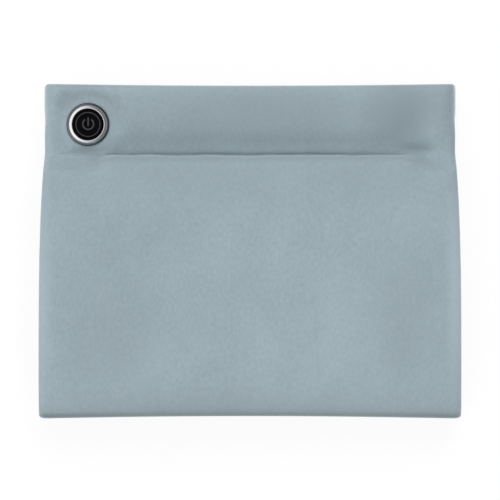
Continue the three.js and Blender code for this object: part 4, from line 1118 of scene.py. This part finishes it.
# Power key: a glossy black cap with a shallow ring groove and the usual power sign printed in grey. It
# rides on its switch and presses in.
key_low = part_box("button_cap")[0].z / mm - button_seat
key_profile = (
    (0, 1.86), (3, 1.87), (6.9, 1.93), (7.28, 1.94), (7.36, 1.72), (8.02, 1.72), (8.1, 1.95), (9.2, 1.98),
    (9.6, 1.85), (9.8, 1.5), (9.8, -0.75), (10.6, -0.75), (10.6, -1.75), (8.5, -1.75), (8.5, 0.5),
    (1.8, 0.5), (1.8, key_low), (0, key_low),
)
groove_profile = ((7.34, 1.66), (7.34, 1.80), (8.04, 1.80), (8.04, 1.66))
key_black = surface_finish(
    "gloss_black_key", (0.0018, 0.0018, 0.0026, 1), (0.001, 0.001, 0.0014, 1),
    grain=700.0, rough=(0.10, 0.16), bump=0.02, deepness=0.01, specular=0.04)
key = turned("power_key", key_profile, closed=False)
crisp(key, width=0.08, segments=2)
key.data.materials.append(key_black)
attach(key, "power_button")
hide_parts("button_cap")

sign_grey = surface_finish(
    "printed_grey", (0.029, 0.031, 0.035, 1), (0.023, 0.025, 0.028, 1),
    grain=900.0, rough=(0.35, 0.5), bump=0.03, deepness=0.01)
groove_ring = turned("key_ring_line", groove_profile)
groove_ring.data.materials.append(sign_grey)
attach(groove_ring, "power_button")

sign_radius = 3.45
sign_line = 0.9
sign_low, sign_high = 1.80, 1.93
sign_gap = math.radians(35)
sign_steps = 40
sign_bar_long = 5.4
sign_bar_up = 1.45
sign_shift = Vector((0.1, 0.3))
sign_shape = bmesh.new()
sign_corners = [
    sign_shape.verts.new((0, (sign_radius + across * sign_line / 2) * mm, height * mm))
    for across, height in ((-1, sign_low), (1, sign_low), (1, sign_high), (-1, sign_high))
]
sign_end = sign_shape.faces.new(sign_corners)
gap_turn = Matrix.Rotation(sign_gap, 3, "Z")
bmesh.ops.rotate(sign_shape, verts=sign_shape.verts, cent=(0, 0, 0), matrix=gap_turn)
bmesh.ops.spin(
    sign_shape, geom=[sign_end], axis=(0, 0, 1), cent=(0, 0, 0), angle=2 * math.pi - 2 * sign_gap,
    steps=sign_steps, use_merge=False)
bar_size = Vector((sign_line, sign_bar_long, sign_high - sign_low)) * mm
bar_place = Matrix.Translation((0, sign_bar_up * mm, (sign_low + sign_high) / 2 * mm))
bmesh.ops.create_cube(sign_shape, size=1.0, matrix=bar_place @ Matrix.Diagonal(bar_size).to_4x4())
bmesh.ops.recalc_face_normals(sign_shape, faces=sign_shape.faces)
sign_centre = (*(button_centre + sign_shift), button_seat)
bmesh.ops.translate(sign_shape, verts=sign_shape.verts, vec=Vector(sign_centre) * mm)
sign = finished("power_sign", sign_shape, smooth=False)
sign.data.materials.append(sign_grey)
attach(sign, "power_button")

# Controller: tactile switch, board, lamp and connector in a black moulded casing behind the plush. Its
# clamp ring holds it on the ring's barrel, and three screws hold its lid.
casing_black = surface_finish(
    "black_moulded_plastic", (0.030, 0.032, 0.035, 1), (0.018, 0.019, 0.021, 1),
    grain=380.0, rough=(0.42, 0.62), bump=0.25)
board_green = surface_finish(
    "circuit_board_green", (0.018, 0.105, 0.050, 1), (0.010, 0.070, 0.034, 1),
    grain=240.0, rough=(0.3, 0.45), bump=0.15)
screw_steel = surface_finish(
    "plated_steel", (0.58, 0.58, 0.57, 1), (0.45, 0.45, 0.45, 1),
    grain=500.0, rough=(0.22, 0.38), bump=0.1, deepness=0.03, metal=1.0)
lamp_clear = surface_finish(
    "clear_lamp_resin", (0.78, 0.82, 0.86, 1), (0.66, 0.71, 0.76, 1),
    grain=500.0, rough=(0.12, 0.2), bump=0.03)
dress(casing_black, "switch_plunger", "switch_body", "clamp_ring", edge=0.2)
dress(casing_black, "controller_housing", "controller_rear_cover", edge=0.2)
dress(board_green, "controller_board", edge=0.1)
dress(lamp_clear, "status_led", edge=0.15)
dress(screw_steel, "controller_screw_1", "controller_screw_2", "controller_screw_3", edge=0.15)

# Battery pack: two flat cells in blue shrink wrap, the charging board and its socket in a case of two
# moulded shells. It lies in the band beside the controller.
cell_blue = surface_finish(
    "cell_shrink_wrap", (0.035, 0.135, 0.330, 1), (0.026, 0.105, 0.270, 1),
    grain=120.0, rough=(0.25, 0.4), bump=0.15)
dress(casing_black, "battery_case_front", "battery_case_rear", edge=0.3)
dress(cell_blue, "battery_cell_1", "battery_cell_2", edge=0.5)
dress(board_green, "charge_board", edge=0.1)
dress(screw_steel, "usb_c_socket", edge=0.08)

# Zip: two woven tapes, each with a row of moulded teeth on its edge, behind the slit in the rear panel.
# Nickel end stops, a slider and its pull run on them.
tape_in, tape_out = 2.0, 8.0
tape_top, tape_foot = 1.95, 2.55
tape_half = 98.4
tape_long_steps, tape_wide_steps = 96, 5
tooth_pitch = 2.0
tooth_half = 92.0
tooth_up, tooth_under = 1.35, 1.35
tooth_size = Vector((1.15, 2.5, 1.15))
tooth_edge = 0.32
tape_black = (0.050, 0.062, 0.072, 1.0)
tape_grey = (0.085, 0.105, 0.118, 1.0)


def on_slope(x, up, depth):
    """A point on the rear band's slope: up from the slit's middle, and in from the cloth's face."""
    return Vector((x, *(slope_middle + slope_way * up))) - slope_out * depth


tape_cloth, tree, tape_surface, tape_place = new_finish("woven_zip_tape", {"Roughness": 0.85})
tape_weave = wave_node(tree, tape_place, "DIAGONAL", scale=420.0, distortion=0.6)
tape_tone = blend_colours(tree, tape_weave, tape_black, tape_grey)
tree.links.new(tape_tone, tape_surface.inputs["Base Color"])
link(tree, add_bump(tree, tape_weave, strength=0.5, depth=0.15), 0, tape_surface, "Normal")
tooth_dark = surface_finish(
    "moulded_zip_teeth", (0.075, 0.088, 0.098, 1), (0.050, 0.060, 0.068, 1),
    grain=500.0, rough=(0.3, 0.45), bump=0.1)

for tape_name, side, tooth_start_share in (("upper", 1, 0.5), ("lower", -1, 1.0)):
    shape = bmesh.new()
    bmesh.ops.create_grid(shape, x_segments=tape_long_steps, y_segments=tape_wide_steps, size=1.0)
    for corner in shape.verts:
        share = (corner.co.y + 1) / 2
        up = side * (tape_in + (tape_out - tape_in) * share)
        corner.co = on_slope(corner.co.x * tape_half, up, tape_foot) * mm
    bmesh.ops.recalc_face_normals(shape, faces=shape.faces)
    shape.normal_update()
    if next(iter(shape.faces)).normal.dot(slope_out) > 0:
        bmesh.ops.reverse_faces(shape, faces=shape.faces)
    tape = panel_object("zip_cloth_" + tape_name, shape, tape_foot - tape_top, 0)
    tape.data.materials.append(tape_cloth)
    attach(tape, "muff")
    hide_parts("zip_tape_" + tape_name)

    shape = bmesh.new()
    turn = Matrix((Vector((1, 0, 0)), Vector((0, *slope_way)), slope_out)).transposed()
    tooth_form = (turn @ Matrix.Diagonal(tooth_size * mm)).to_4x4()
    for i in range(int(2 * tooth_half / tooth_pitch)):
        x = -tooth_half + tooth_pitch * (i + tooth_start_share)
        middle = on_slope(x, side * tooth_up, tooth_under) * mm
        bmesh.ops.create_cube(shape, size=1.0, matrix=Matrix.Translation(middle) @ tooth_form)
    bmesh.ops.bevel(
        shape, geom=shape.edges[:], offset=tooth_edge * mm, segments=2, profile=0.5, affect="EDGES",
        material=-1)
    teeth = finished("zip_teeth_" + tape_name, shape)
    teeth.data.materials.append(tooth_dark)
    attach(teeth, "muff")

zip_nickel = surface_finish(
    "satin_nickel", (0.50, 0.50, 0.49, 1), (0.38, 0.38, 0.38, 1),
    grain=600.0, rough=(0.2, 0.32), bump=0.08, deepness=0.03, metal=1.0)
dress(zip_nickel, "zip_stop_left", "zip_stop_right", edge=0.3)
dress(zip_nickel, "zip_slider", edge=0.22)
dress(zip_nickel, "zip_pull", edge=0.25)
